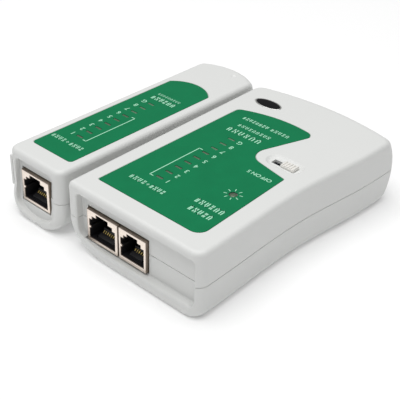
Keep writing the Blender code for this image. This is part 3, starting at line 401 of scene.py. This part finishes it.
def plan_ring(height, left, right, front, back, corners, stations):
    """One ring of a case: its sides and back are functions of y and x, its front is straight.

    corners holds the radii of the right front, the two back and the left front corners, and
    stations the number of steps along each side and along the back.
    """
    front_radius, back_radius, left_radius = corners
    side_count, back_count = stations
    near = 2.0
    right_front, left_front = Vector((right(front), front)), Vector((left(front), front))
    back_y = back(0.0)
    right_back = Vector((right(back_y), back(right(back_y))))
    left_back = Vector((left(back_y), back(left(back_y))))
    ring = fillet(left_front, right_front, Vector((right(front + near), front + near)), front_radius)
    low, high = front + front_radius, right_back.y - back_radius
    for i in range(1, side_count):
        y = low + (high - low) * i / side_count
        ring.append(Vector((right(y), y)))
    inner = right_back.x - near
    ring += fillet(Vector((right(right_back.y - near), right_back.y - near)), right_back,
                   Vector((inner, back(inner))), back_radius)
    low, high = right_back.x - back_radius, left_back.x + back_radius
    for i in range(1, back_count):
        x = low + (high - low) * i / back_count
        ring.append(Vector((x, back(x))))
    inner = left_back.x + near
    ring += fillet(Vector((inner, back(inner))), left_back,
                   Vector((left(left_back.y - near), left_back.y - near)), back_radius)
    low, high = left_back.y - back_radius, front + left_radius
    for i in range(1, side_count):
        y = low + (high - low) * i / side_count
        ring.append(Vector((left(y), y)))
    ring += fillet(Vector((left(front + near), front + near)), left_front, right_front, left_radius)
    return [Vector((p.x, p.y, height)) for p in ring]


def master_ring(height, z, inset=0.0, front_inset=0.0):
    """The master's plan, laid at a height, with the outer shape it has at z drawn in by inset."""
    round_in = top_inset(z)
    side_in = inset + round_in + edge_inset(z, MASTER_LOWER_EDGE)
    front = (front_inset or inset) + round_in + edge_inset(z, MASTER_FRONT_EDGE)
    back_y = MASTER_BACK - 0.025 * (z - SEAM_HEIGHT) ** 2 - side_in

    def right(y):
        waist = math.sin(math.pi * min(max(y / 100.0, 0.0), 1.0)) ** 2
        return (MASTER_HALF_WIDTH - MASTER_WAIST * waist + MASTER_FLARE * smoothstep(50.0, 100.0, y)
                - side_in)

    def left(y):
        fade = 1 - smoothstep(HULL_START, HULL_END, y)
        width = MASTER_LOWER_EDGE + (HULL_WIDTH - MASTER_LOWER_EDGE) * fade
        depth = MASTER_LOWER_EDGE + (HULL_HEIGHT - MASTER_LOWER_EDGE) * fade
        below = min(max((depth - z) / depth, 0.0), 1.0)
        hull_in = width * (1 - math.sqrt(1 - below ** 2))
        taper = MASTER_TAPER * min(max(y / 100.0, 0.0), 1.0)
        return -(MASTER_HALF_WIDTH + taper) + inset + round_in + hull_in

    def back(x):
        return back_y - x ** 2 / 232.0

    shrink = inset + round_in
    corners = (max(4.5 - shrink, 1.2), max(5.0 - shrink, 1.5), max(1.9 - shrink, 0.6))
    return plan_ring(height, left, right, front, back, corners, (36, 24))


def remote_front(z):
    """The remote's front leans back a little as it rises."""
    return 1.8 * smoothstep(3.0, 14.0, z) + edge_inset(z, REMOTE_FRONT_EDGE)


def remote_ring(height, z, inset=0.0, front_inset=0.0):
    """The remote's plan, laid at a height, with the outer shape it has at z drawn in by inset."""
    round_in = top_inset(z)
    side_in = inset + round_in + edge_inset(z, REMOTE_LOWER_EDGE)
    front = (front_inset or inset) + round_in + remote_front(z)
    back_y = REMOTE_BACK - 0.018 * (z - SEAM_HEIGHT) ** 2 - inset - round_in - edge_inset(z, REMOTE_BACK_EDGE)
    shrink = inset + round_in

    def back(x):
        return back_y - REMOTE_BACK_RADIUS + math.sqrt(REMOTE_BACK_RADIUS ** 2 - x ** 2)

    front_radius = max(3.8 - shrink, 1.2)
    return plan_ring(height, lambda y: -REMOTE_HALF_WIDTH + side_in, lambda y: REMOTE_HALF_WIDTH - side_in,
                     front, back, (front_radius, max(3.6 - shrink, 1.2), front_radius), (14, 22))


def top_shell(ring, front_wall):
    """Upper shell: ceiling and inner wall, chamfered seam edge, outer wall, rolled top edge."""
    seam = SEAM_HIGH
    rings = [ring(z, z + WALL, WALL, front_wall) for z in (CEILING, CEILING - 0.9, CEILING - 2.8, seam)]
    rings += [ring(seam, seam, 0.22), ring(seam + 0.14, seam, 0.06), ring(seam + 0.3, seam)]
    start = CASE_HEIGHT - TOP_EDGE_RADIUS
    rings += [ring(z, z) for z in (seam + 3.0, (seam + start) / 2, start - 3.0)]
    steps = 10
    rings += [ring(z, z) for z in (start + TOP_EDGE_RADIUS * math.sin(math.pi / 2 * i / steps)
                                   for i in range(steps + 1))]
    return loft(rings)


def bottom_shell(ring, front_wall, radius):
    """Lower shell: a lip inside the seam, a rolled lower edge and a slightly inset plinth."""
    seam = SEAM_LOW
    steps = 12
    arc = [radius * (1 - math.cos(math.pi / 2 * i / steps)) for i in range(steps + 1)]
    levels = arc + [z for z in (7.0, 8.6, 10.2, 12.0) if z > arc[-1] + 0.8]
    lip_in, lip_out = WALL + 1.1, WALL + 0.12
    rings = [ring(z + WALL, z, lip_in, front_wall + 1.1) for z in levels if z + WALL < seam - 0.5]
    top = seam + 1.5
    rings += [ring(top, seam, lip_in, front_wall + 1.1), ring(top, seam, lip_out, front_wall + 0.12),
              ring(seam, seam, lip_out, front_wall + 0.12), ring(seam, seam, 0.22),
              ring(seam - 0.14, seam, 0.06), ring(seam - 0.3, seam)]
    rings += [ring(z, z) for z in reversed(levels) if z > PLINTH_HEIGHT + 0.1]
    rings += [ring(PLINTH_HEIGHT, PLINTH_HEIGHT), ring(PLINTH_HEIGHT, 0.0, 0.3), ring(0.0, 0.0, 0.3)]
    return loft(rings)


# ---- labels -------------------------------------------------------------------------------
def master_label_outline():
    """A sheet with an arched back and an angled notch beside the switch."""
    left, right, front, shoulder = -25.0, 23.9, 8.7, 10.3

    def back(x):
        return 89.7 - (x + 2.0) ** 2 / 100.0

    corners = [(left, front, 0.6), (right, front, 4.0), (21.6, 55.3, 0.4), (0.6, 59.6, 6.5),
               (shoulder, back(shoulder), 3.0)]
    corners += [(x, back(x), 0.0) for x in (shoulder - (shoulder - left) * i / 16 for i in range(2, 15))]
    corners.append((left, back(left), 2.6))
    return rounded(corners)


def remote_label_outline():
    """A strip with a square front and an arched back."""
    half, front, shoulder, rise = 10.85, 10.5, 84.6, 5.0
    radius = (half ** 2 + rise ** 2) / (2 * rise)
    center_y = shoulder + rise - radius
    spread = math.asin(half / radius)
    arc = []
    for i in range(1, 20):
        angle = spread - 2 * spread * i / 20
        arc.append((radius * math.sin(angle), center_y + radius * math.cos(angle), 0.0))
    return rounded([(-half, front, 1.4), (half, front, 1.4), (half, shoulder, 0.0)] + arc
                   + [(-half, shoulder, 0.0)])


def led_rows(leds, half_length, half_width):
    """The low and high x and y of each place in a row of indicators."""
    x, y, pitch = leds
    return [(x - half_length, y + pitch * i - half_width, x + half_length, y + pitch * i + half_width)
            for i in range(LED_COUNT)]


def ceiling_cut(*rows):
    """Square holes through a case's top, from rows of low x, low y, high x and high y."""
    return box_mesh(*[((x0, y0, CEILING - 1), (x1, y1, CASE_HEIGHT + 1)) for x0, y0, x1, y1 in rows])


def led_windows(leds):
    return ceiling_cut(*led_rows(leds, LED_LENGTH / 2 + 0.3, LED_WIDTH / 2 + 0.3))


def window_loops(leds):
    rows = led_rows(leds, BAR_LENGTH / 2 + 0.1, BAR_WIDTH / 2 + 0.1)
    return [rounded([(x0, y0, 0.3), (x0, y1, 0.3), (x1, y1, 0.3), (x1, y0, 0.3)], 3)
            for x0, y0, x1, y1 in rows]


# ---- cases --------------------------------------------------------------------------------
# Depth and growth down the rounded lip of a socket recess
LIP = [(-2.0, 0.80), (-0.03, 0.80), (0.08, 0.48), (0.27, 0.21), (0.56, 0.04), (0.80, 0.0)]


def pocket(outline):
    """Shallow seat of a label, with a rounded rim."""
    return well(outline, [(CASE_HEIGHT + 1, 0.42), (CASE_HEIGHT + 0.02, 0.42), (CASE_HEIGHT - 0.08, 0.26),
                          (CASE_HEIGHT - 0.2, 0.2), (LABEL_FLOOR, 0.2)])


def screw_tools(places):
    """Screw posts of the lower and upper shell, then the cutters of their wells and holes."""
    lower = cylinder_mesh(*[(x, y, 1.6, SEAM_LOW, 4.0) for x, y in places])
    upper = cylinder_mesh(*[(x, y, SEAM_HIGH, CEILING + 0.4, 3.2) for x, y in places])
    wells = []
    for x, y in places:
        rings = [[Vector((px, py, z)) for px, py in circle(x, y, r, 32)]
                 for z, r in ((-2.0, 3.3), (0.05, 3.3), (0.3, 3.05), (0.6, 2.95), (SEAT_HEIGHT, 2.9))]
        wells.append(loft(rings))
    holes = cylinder_mesh(*[(x, y, SEAT_HEIGHT - 1, SEAT_HEIGHT + 13.1, 1.45) for x, y in places], sides=24)
    return lower, upper, wells, holes


def make_master_case():
    # The docking channel runs in a block behind the left wall, half of it in each shell
    lower_block, upper_block = [box_mesh(((-31.1, 2.6, low), (-26.8, 61.5, high)))
                                for low, high in ((7.0, SEAM_LOW), (SEAM_HIGH, 23.6))]
    groove = box_mesh(((-27.9, 1.0, SEAM_HEIGHT - 0.14), (29.9, 3.45, SEAM_HEIGHT + 0.14)))
    outline = rounded([(-27.6, 24.3, 1.6), (-27.4, 7.0, 4.6), (-19.0, 4.8, 7.0), (29.6, 5.0, 3.0),
                       (29.6, 24.3, 1.6)])
    profile = LIP + [(2.7, 0.0), (2.95, -0.08), (3.12, -0.25), (3.2, -0.55)]

    def recess():
        return well(outline, profile, surface=flat_front)

    def jack_window():
        return box_mesh(((-24.8, 1.2, 5.2), (6.1, 24.0, 19.4)))

    def channel():
        """Undercut groove that takes the remote's rail; it opens to the left past y = 35."""
        outer, lip, inner, low, high = -35.0, -30.5, -28.3, 8.2, 22.2
        return [box_mesh(pair, radius=0.15) for pair in (
            ((lip, 3.6, low), (inner, 60.0, high)), ((outer, 3.6, low + 3.2), (inner, 60.0, high - 3.2)),
            ((outer, 35.0, low), (inner, 60.0, high)))]

    lower, upper, wells, holes = screw_tools(MASTER_SCREWS)
    steps = [(JOIN, upper_block), (JOIN, upper), (CUT, recess()), (CUT, jack_window()), (CUT, groove.copy())]
    steps += [(CUT, tool) for tool in channel()]
    power = circle(*POWER_LED, 1.8)
    steps += [(CUT, holes.copy()), (CUT, led_windows(MASTER_LEDS)),
              (CUT, well(power, [(CASE_HEIGHT + 1, 0.0), (CEILING - 1, 0.0)])),
              (CUT, pocket(master_label_outline())),
              (CUT, pocket(circle(*BADGE, BADGE_RADIUS, 64, BADGE_STRETCH)))]
    # The switch lies in a shallow dish with a slot for its stem
    dish = [(1.0, 0.15), (0.02, 0.15), (-0.12, -0.12), (-0.4, -0.5), (-0.66, -0.95), (-0.84, -1.35),
            (-0.9, -1.6)]
    x, y = SWITCH
    steps += [(CUT, well(stadium(x, y, 16.0, 8.0), [(CASE_HEIGHT + rise, grow) for rise, grow in dish])),
              (CUT, ceiling_cut((x - 5.3, y - 1.4, x + 5.3, y + 1.4)))]
    mesh = carve(top_shell(master_ring, FRONT_WALL), *steps)
    piece("master_top_case", mesh, CASE, "master", MASTER, ["master_top_shell"],
          CASE_SHARP, True)

    # The wall before the battery, notched for its leads, and the bay's opening with the door's two rails
    wall = flat_upright([(-30.8, 1.0), (31.0, 1.0), (31.0, SEAM_LOW), (-16.2, SEAM_LOW), (-16.2, 10.4),
                         (-30.8, 10.4)], 78.4, 80.0)
    left, right, behind = DOOR_X - DOOR_HALF_WIDTH, DOOR_X + DOOR_HALF_WIDTH, 125.0
    door_cut = box_mesh(((left - 0.3, 80.6, -2.0), (right + 0.3, behind, WALL + 0.5)))
    door_rails = box_mesh(((left - 2.3, 80.3, WALL), (right + 2.3, behind, WALL + 1.6)))
    steps = [(JOIN, lower_block), (JOIN, wall), (JOIN, lower), (CUT, recess()), (CUT, jack_window()),
             (CUT, groove)]
    steps += [(CUT, tool) for tool in channel() + wells]
    steps += [(CUT, holes), (CUT, door_cut), (CUT, door_rails)]
    mesh = carve(bottom_shell(master_ring, FRONT_WALL, MASTER_LOWER_EDGE), *steps)
    piece("master_bottom_case", mesh, CASE, "master", MASTER, ["master_bottom_shell"],
          CASE_SHARP, True)


def flat_upright(outline, low, high):
    """A plate across the case, its outline in XZ, from y = low to y = high."""
    rings = [[Vector((u, y, v)) for u, v in outline] for y in (low, high)]
    return loft(rings)


def make_remote_case():
    # The recess round the socket has a straight top and a scooped bottom
    half, low, scoop, center = 10.7, 8.6, 6.2, -0.3
    arc = []
    for i in range(1, 28):
        angle = math.pi + math.pi * i / 28
        arc.append((center + half * math.cos(angle), low + scoop * math.sin(angle), 0.0))
    corners = [(center + half, 24.3, 2.4), (center - half, 24.3, 2.4), (center - half, low, 0.0)]
    outline = rounded(corners + arc + [(center + half, low, 0.0)])

    def opening():
        return well(outline, LIP + [(2.0, 0.0), (2.3, -0.1), (2.5, -0.4)], surface=remote_front)

    def window():
        return box_mesh(((-9.6, -2.0, 6.1), (7.2, 24.9, 20.3)))

    # The docking rail, a plate on a narrower web, half of it on each shell
    rails = []
    outer = -REMOTE_HALF_WIDTH - 1.6
    for z0, z1, web in ((8.7, SEAM_LOW, (12.6, SEAM_LOW)), (SEAM_HIGH, 21.7, (SEAM_HIGH, 17.8))):
        rails.append([(JOIN, box_mesh(((outer - 0.5, 5.4, web[0]), (-13.8, 35.4, web[1])))),
                      (JOIN, box_mesh(((outer - 1.3, 4.4, z0), (outer, 36.4, z1)), radius=0.2))])
    lower, upper, wells, holes = screw_tools(REMOTE_SCREWS)
    dimple = [[Vector((p[0], p[1], z)) for p in circle(4.9, 107.5, r, 32)]
              for z, r in ((CASE_HEIGHT + 1, 1.3), (CASE_HEIGHT, 1.2), (CASE_HEIGHT - 0.25, 0.9),
                           (CASE_HEIGHT - 0.35, 0.4))]
    steps = rails[1] + [(JOIN, upper), (CUT, opening()), (CUT, window()), (CUT, holes.copy()),
                        (CUT, led_windows(REMOTE_LEDS)), (CUT, pocket(remote_label_outline())),
                        (CUT, loft(dimple))]
    mesh = carve(top_shell(remote_ring, REMOTE_FRONT_WALL), *steps)
    piece("remote_top_case", mesh, CASE, "remote", REMOTE, ["remote_top_shell"],
          CASE_SHARP, True)
    steps = rails[0] + [(JOIN, lower), (CUT, opening()), (CUT, window())] + [(CUT, tool) for tool in wells]
    mesh = carve(bottom_shell(remote_ring, REMOTE_FRONT_WALL, REMOTE_LOWER_EDGE), *steps, (CUT, holes))
    piece("remote_bottom_case", mesh, CASE, "remote", REMOTE, ["remote_bottom_shell"],
          CASE_SHARP, True)


# ---- jacks --------------------------------------------------------------------------------
def window_outline(width, steps, bottom, tab=5.6):
    """Plug window of a shield, stepped in towards the latch, with a grounding finger on its left."""
    half = width / 2
    right, left = [], []
    low = bottom
    for inset, top in steps:
        right += [(half - inset, low), (half - inset, top)]
        left += [(-half + inset, low), (-half + inset, top)]
        low = top
    inset = steps[0][0]
    finger = [(-half + inset, tab), (-half + inset + 0.75, tab + 0.15), (-half + inset + 0.75, tab + 0.95),
              (-half + inset, tab + 1.1)]
    return right + list(reversed(left[2:])) + [left[1]] + list(reversed(finger)) + [left[0]]


def make_jack(name, width, ways, place, unit, body, steps, bottom):
    """Drawn sheet-metal shield, black nylon insert with latch guides, and gold spring wires."""
    half = width / 2
    shell = bmesh.new()
    soft_box(shell, (-half, 0.0, 0.0), (half, JACK_DEPTH, JACK_HEIGHT), 0.45, 3)
    room = box_mesh(((-half + SHEET, SHEET, SHEET), (half - SHEET, JACK_DEPTH - SHEET, JACK_HEIGHT - SHEET)))
    outline = window_outline(width, steps, bottom)
    lips = [(-1.0, 0.12), (0.0, 0.12), (0.12, 0.0), (1.0, 0.0)]
    window = well(outline, lips, surface=flat_front)
    slits = box_mesh(*[((-half - 1, 5.0, low), (half + 1, 9.0, high))
                       for low, high in ((3.6, 3.95), (8.4, 8.75))])
    shield = carve(from_bmesh(shell), (CUT, room), (CUT, window), (CUT, slits))
    at = unit + place
    can = piece(name + "_can", shield, NICKEL, body, at, [name + "_shield"], smooth=30)
    # Faces not facing the front get the darker copy, painted shade on the shield's top and sides
    can.data.materials.append(NICKEL_PAINTED_SHADE)
    for face in can.data.polygons:
        face.material_index = 0 if face.normal.y < -0.8 else 1

    block = bmesh.new()
    soft_box(block, (-half + 0.5, 0.55, 0.5), (half - 0.5, JACK_DEPTH - 0.5, JACK_HEIGHT - 0.5), 0.15)
    inner = [(inset + 0.15, top) for inset, top in steps]
    mouth = well(window_outline(width, inner, bottom + 0.2), [(-1.0, 0.0), (14.6, 0.0)], surface=flat_front)
    combs = [((-4.6 + WIRE_PITCH * i - 0.36, 1.6, 0.9), (-4.6 + WIRE_PITCH * i + 0.36, 13.0, 1.9))
             for i in range(10)]
    combs = [pair for pair in combs if abs((pair[0][0] + pair[1][0]) / 2) < half - 2.0]
    # A ramp hides all of the wires but their crests
    reach = WIRE_PITCH * (ways - 1) / 2
    ramp = ((1.7, 1.2), (1.7, 2.4), (3.3, 3.1), (4.0, 2.7), (4.5, 3.2), (4.6, 4.6), (12.9, 5.8), (12.9, 1.2))
    cover = loft([[Vector((x, y, z + bottom - RJ45_BOTTOM)) for y, z in ramp]
                  for x in (-reach - 0.5, reach + 0.5)])
    insert = carve(from_bmesh(block), (CUT, mouth), (CUT, box_mesh(*combs)), (JOIN, cover))
    piece(name + "_housing", insert, NYLON, body, at, [name + "_insert"], smooth=30)

    curve = bpy.data.curves.new("wires", "CURVE")
    curve.dimensions = "3D"
    curve.bevel_depth = WIRE_RADIUS
    curve.bevel_resolution = 3
    curve.use_fill_caps = True
    route = ((1.9, 1.95), (2.4, 1.7), (3.0, 1.9), (3.5, 2.35), (4.0, 3.0), (4.4, 3.3), (6.0, 4.0), (9.0, 4.5),
             (11.4, 4.8), (12.2, 4.5), (12.6, 3.4))
    for i in range(ways):
        spline = curve.splines.new("POLY")
        spline.points.add(len(route) - 1)
        for point, (y, z) in zip(spline.points, route):
            point.co = (-reach + WIRE_PITCH * i, y, z + bottom - RJ45_BOTTOM, 1.0)
    wires = mesh_of_curve(curve, Matrix.Identity(4))
    piece(name + "_wires", wires, GOLD, body, at, [name + "_contacts"], smooth=50)


# ---- small pieces -------------------------------------------------------------------------
def make_led_row(prefix, leds, body, unit):
    """Indicators on the board: a foot, a block and the bar that shows through the label."""
    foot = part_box(prefix + "_led_1")[0].z / MM
    for i, (x0, y0, x1, y1) in enumerate(led_rows(leds, LED_LENGTH / 2, LED_WIDTH / 2)):
        x, y = (x0 + x1) / 2, (y0 + y1) / 2
        bm = bmesh.new()
        soft_box(bm, (x0 - 0.6, y0 - 0.5, foot), (x1 + 0.6, y1 + 0.5, foot + 0.9), 0.1)
        soft_box(bm, (x0, y0, foot + 0.8), (x1, y1, 27.2), 0.16, 3)
        soft_box(bm, (x - BAR_LENGTH / 2, y - BAR_WIDTH / 2, 27.0),
                 (x + BAR_LENGTH / 2, y + BAR_WIDTH / 2, LED_TOP), 0.16, 3)
        node = prefix + ("_led_ground" if i == LED_COUNT - 1 else "_led_%d" % (i + 1))
        lens = LENS_PALE if i > 5 else LENS
        piece(node + "_lens", from_bmesh(bm), lens, body, unit, [node])


def make_power_led():
    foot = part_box("power_led")[0].z / MM
    profile = [(foot, 1.9), (foot + 0.9, 1.9), (foot + 0.9, 1.5), (LED_TOP - 0.75, 1.5),
               (LED_TOP - 0.4, 1.38), (LED_TOP - 0.15, 1.05), (LED_TOP - 0.03, 0.6), (LED_TOP, 0.2)]
    rings = [[Vector((x, y, z)) for x, y in circle(*POWER_LED, radius, 32)] for z, radius in profile]
    piece("power_led_lens", loft(rings), LENS, "master", MASTER, ["power_led"])


def make_knob():
    """Slider cap in its OFF place, at the +X end: a stem, a skirt and a ribbed thumb pad."""
    x, y = SWITCH[0] + SWITCH_TRAVEL / 2, SWITCH[1]
    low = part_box("switch_knob")[0].z / MM
    bm = bmesh.new()
    soft_box(bm, (x - 2.6, y - 1.1, low), (x + 2.6, y + 1.1, 27.2), 0.15)
    soft_box(bm, (x - 3.1, y - 1.9, 27.0), (x + 3.1, y + 1.9, 27.85), 0.25, 3)
    for i in range(5):
        rib = x - 2.5 + 1.25 * i
        soft_box(bm, (rib - 0.42, y - 1.75, 27.4), (rib + 0.42, y + 1.75, 28.18), 0.18, 3)
    piece("switch_thumb_pad", from_bmesh(bm), KNOB, "switch", MASTER, ["switch_knob"])


def make_badge():
    """A blank domed oval in a thin metal rim."""
    outline = circle(*BADGE, BADGE_RADIUS, 72, BADGE_STRETCH)
    rim = carve(well(outline, [(27.36, 0.0), (27.68, 0.0), (27.76, -0.1), (27.78, -0.2)]),
                (CUT, well(offset(outline, -0.42), [(27.55, 0.0), (29.0, 0.0)])))
    piece("badge_rim", rim, RIM, "master", MASTER, ["master_badge"])
    inner = offset(outline, -0.46)
    center = Vector(BADGE)
    rings = []
    for z, scale in ((27.56, 1.0), (27.66, 1.0), (27.72, 0.96), (27.76, 0.86), (27.79, 0.6), (27.8, 0.2)):
        rings.append([Vector((*(center + (Vector(p) - center) * scale), z)) for p in inner])
    piece("badge_dome", loft(rings), BLACK_GLOSS, "master", MASTER)


def make_screws(prefix, places, body, unit):
    """Cross-head case screws, their heads down in the wells."""
    top = SEAT_HEIGHT - 0.3
    for i, (x, y) in enumerate(places):
        profile = ((top - 1.9, 1.5), (top - 1.8, 1.95), (top - 1.5, 2.35), (top - 1.1, 2.55),
                   (top - 0.9, 2.6), (top, 2.6), (top, 1.3), (top + 11.3, 1.3), (top + 12.5, 0.4))
        rings = [[Vector((px, py, z)) for px, py in circle(x, y, radius, 32)] for z, radius in profile]
        cross = [(CUT, box_mesh(((x - a, y - b, 0.0), (x + a, y + b, top - 0.7))))
                 for a, b in ((1.5, 0.28), (0.28, 1.5))]
        mesh = carve(loft(rings), *cross)
        node = "%s_screw_%d" % (prefix, i + 1)
        piece(node + "_head", mesh, STEEL, body, unit, [node])


# ---- print --------------------------------------------------------------------------------
def text_mesh(legend, x, y, size):
    """A numeral or switch legend, its top towards the sockets."""
    curve = bpy.data.curves.new("legend", "FONT")
    curve.body = legend
    curve.size = size
    curve.align_x, curve.align_y = "CENTER", "CENTER"
    curve.extrude = PRINT_HEIGHT / 2
    curve.offset = 0.03
    turn = Matrix.Translation((x, y, LABEL_TOP + PRINT_HEIGHT / 2)) @ Matrix.Rotation(math.pi, 4, "Z")
    return mesh_of_curve(curve, turn)


def strokes_mesh(rows):
    """Printed bars: rows of x, y, length, width, angle in degrees."""
    bm = bmesh.new()
    for x, y, length, width, angle in rows:
        matrix = (Matrix.Translation((x, y, LABEL_TOP + PRINT_HEIGHT / 2))
                  @ Matrix.Rotation(math.radians(angle), 4, "Z")
                  @ Matrix.Diagonal((length, width, PRINT_HEIGHT, 1.0)))
        bmesh.ops.create_cube(bm, size=1.0, matrix=matrix)
    return from_bmesh(bm)


def bracket(leds, x, first, last, towards):
    """A long line beside a run of indicators, with a short hook at each end."""
    led_x, y, pitch = leds
    y0, y1 = y + pitch * first - 0.9, y + pitch * last + 0.9
    return [(x, (y0 + y1) / 2, 0.4, y1 - y0, 0), (x + towards * 0.8, y0, 1.8, 0.4, 0),
            (x + towards * 0.8, y1, 1.8, 0.4, 0)]


def blocks(x0, x1, y, count, height):
    """Plain marks that stand in for a word: two posts and a bar for each place."""
    pitch = (x1 - x0) / count
    rows = []
    for i in range(count):
        center, wide, stroke = x0 + pitch * (i + 0.5), pitch * (0.62 if i % 3 else 0.5), height * 0.17
        spread = (wide - stroke) / 2
        bar = y + (height - stroke) / 2 * (1, 0, -1, 0, 1)[i % 5]
        rows += [(center - spread, y, stroke, height, 0), (center + spread, y, stroke, height, 0),
                 (center, bar, wide, stroke, 0)]
    return rows


def make_print():
    def printed(name, mesh, unit, body):
        piece(name, mesh, MINT, body, unit, smooth=0)

    for prefix, leds, unit, side in (("master", MASTER_LEDS, MASTER, 4.2),
                                     ("remote", REMOTE_LEDS, REMOTE, -3.8)):
        x, y, pitch = leds
        for i, legend in enumerate("12345678G"):
            mesh = text_mesh(legend, x + side, y + pitch * i, 3.1)
            printed("%s_legend_%s" % (prefix, legend), mesh, unit, prefix)
    for legend, x in (("OFF", 17.3), ("ON", 12.6), ("S", 9.2)):
        printed("switch_legend_" + legend, text_mesh(legend, x, 50.8, 2.6), MASTER, "master")
    # A star of eight rays round the power light, and the bracket beside indicators 1 to 6
    px, py = POWER_LED
    rays = [(px + 2.9 * math.cos(a), py + 2.9 * math.sin(a), 1.3, 0.3, math.degrees(a))
            for a in (math.pi / 4 * k + math.pi / 8 for k in range(8))]
    words = (blocks(9.6, 20.4, 18.5, 5, 2.7) + blocks(8.0, 21.3, 23.6, 6, 2.7)
             + blocks(-19.1, -11.0, 18.5, 4, 2.3) + blocks(-9.0, -1.7, 18.5, 4, 2.3)
             + blocks(-18.0, -0.8, 69.5, 6, 2.9)
             + blocks(-16.6, -0.3, 74.5, 9, 2.0) + blocks(-19.0, -6.0, 80.4, 8, 2.1)
             + blocks(-5.0, 4.2, 80.4, 5, 2.1))
    plus = [(-10.0, 18.5, 1.2, 0.35, 0), (-10.0, 18.5, 0.35, 1.2, 0)]
    printed("master_print", strokes_mesh(rays + words + plus), MASTER, "master")
    printed("master_bracket", strokes_mesh(bracket(MASTER_LEDS, -14.6, 0, 5, 1)), MASTER, "master")
    words = (blocks(-10.1, -2.4, 19.5, 4, 2.2) + blocks(0.0, 7.3, 19.5, 4, 2.2)
             + blocks(-6.1, 7.0, 68.8, 6, 2.8) + blocks(-6.0, 6.6, 72.4, 9, 1.4))
    plus = [(-1.2, 19.5, 1.2, 0.35, 0), (-1.2, 19.5, 0.35, 1.2, 0)]
    printed("remote_print", strokes_mesh(words + plus), REMOTE, "remote")
    printed("remote_bracket", strokes_mesh(bracket(REMOTE_LEDS, 3.1, 0, 5, -1)), REMOTE, "remote")


def make_labels():
    outlines = [master_label_outline(), circle(*POWER_LED, 1.65)] + window_loops(MASTER_LEDS)
    piece("master_label_film", flat_mesh(outlines, LABEL_UNDERSIDE, LABEL_TOP), GREEN, "master",
          MASTER, ["master_label"], smooth=0)
    outlines = [remote_label_outline()] + window_loops(REMOTE_LEDS)
    piece("remote_label_film", flat_mesh(outlines, LABEL_UNDERSIDE, LABEL_TOP), GREEN, "remote",
          REMOTE, ["remote_label"], smooth=0)


# ---- CAD nodes that stay ------------------------------------------------------------------
def dress_cad_nodes():
    """Materials and even shading for the CAD's own pieces that are shown as they are."""
    looks = {"battery_door": CASE, "master_board": BOARD, "remote_board": BOARD, "switch_frame": STEEL,
             "timer_chip": CHIP, "counter_chip": CHIP, "capacitor": SLEEVE, "battery": JACKET,
             "battery_snap": NYLON, "battery_lead_red": RED, "battery_lead_black": BLACK}
    for name, material in looks.items():
        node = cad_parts[name]
        node.data.materials.clear()
        node.data.materials.append(material)
        node.data.shade_smooth()
        node.data.set_sharp_from_angle(angle=math.radians(CASE_SHARP))


# ---- stage --------------------------------------------------------------------------------
def make_stage():
    floor_material = bpy.data.materials.new("table_white")
    floor_material.use_nodes = True
    shader = floor_material.node_tree.nodes["Principled BSDF"]
    shader.inputs["Base Color"].default_value = (0.84, 0.84, 0.84, 1.0)
    shader.inputs["Emission Color"].default_value = (1.0, 1.0, 1.0, 1.0)
    shader.inputs["Emission Strength"].default_value = 0.17
    shader.inputs["Roughness"].default_value = 0.6
    shader.inputs["Specular IOR Level"].default_value = 0.2
    bm = bmesh.new()
    bmesh.ops.create_grid(bm, x_segments=1, y_segments=1, size=3.0)
    mesh = bpy.data.meshes.new("table")
    bm.to_mesh(mesh)
    bm.free()
    mesh.materials.append(floor_material)
    floor = bpy.data.objects.new("table", mesh)
    bpy.context.scene.collection.objects.link(floor)

    world = bpy.data.worlds.new("studio")
    bpy.context.scene.world = world
    world.use_nodes = True
    background = world.node_tree.nodes["Background"]
    background.inputs["Color"].default_value = (1.0, 1.0, 1.0, 1.0)
    background.inputs["Strength"].default_value = 0.18

    # One large soft box overhead, turned towards the middle of the set
    light = bpy.data.lights.new("overhead", "AREA")
    light.shape = "DISK"
    light.size, light.energy = 1.7, 20.2
    lamp = bpy.data.objects.new("overhead", light)
    lamp.location = (-0.06, -0.14, 1.25)
    lamp.rotation_euler = (-lamp.location).to_track_quat("-Z", "Y").to_euler()
    bpy.context.scene.collection.objects.link(lamp)


def make_camera():
    """A long lens at the front right, above the set and rolled by about two degrees."""
    yaw, pitch, roll = math.radians(41.81), math.radians(33.21), math.radians(1.88)
    back = Vector((math.sin(yaw) * math.cos(pitch), -math.cos(yaw) * math.cos(pitch), math.sin(pitch)))
    right = Vector((math.cos(yaw), math.sin(yaw), 0.0))
    up = back.cross(right)
    turned_right = right * math.cos(roll) + up * math.sin(roll)
    turned_up = up * math.cos(roll) - right * math.sin(roll)
    camera = bpy.data.cameras.new("camera")
    camera.sensor_width = 36.0
    camera.lens = 83.7
    camera.clip_start = 0.01
    holder = bpy.data.objects.new("camera", camera)
    rotation = Matrix((turned_right, turned_up, back)).transposed().to_4x4()
    holder.matrix_world = Matrix.Translation(Vector((205.10, -232.48, 202.42)) * MM) @ rotation
    bpy.context.scene.collection.objects.link(holder)
    bpy.context.scene.camera = holder
    bpy.context.scene.view_settings.view_transform = "Standard"


make_master_case()
make_remote_case()
make_jack("rj45", RJ45_WIDTH, 8, RJ45_PLACE, MASTER, "master", RJ45_STEPS, RJ45_BOTTOM)
make_jack("rj11", RJ11_WIDTH, 6, RJ11_PLACE, MASTER, "master", RJ11_STEPS, RJ11_BOTTOM)
make_jack("remote_rj45", RJ45_WIDTH, 8, REMOTE_JACK_PLACE, REMOTE, "remote", RJ45_STEPS, RJ45_BOTTOM)
make_labels()
make_print()
make_led_row("master", MASTER_LEDS, "master", MASTER)
make_led_row("remote", REMOTE_LEDS, "remote", REMOTE)
make_power_led()
make_knob()
make_badge()
make_screws("master", MASTER_SCREWS, "master", MASTER)
make_screws("remote", REMOTE_SCREWS, "remote", REMOTE)
dress_cad_nodes()
make_stage()
make_camera()
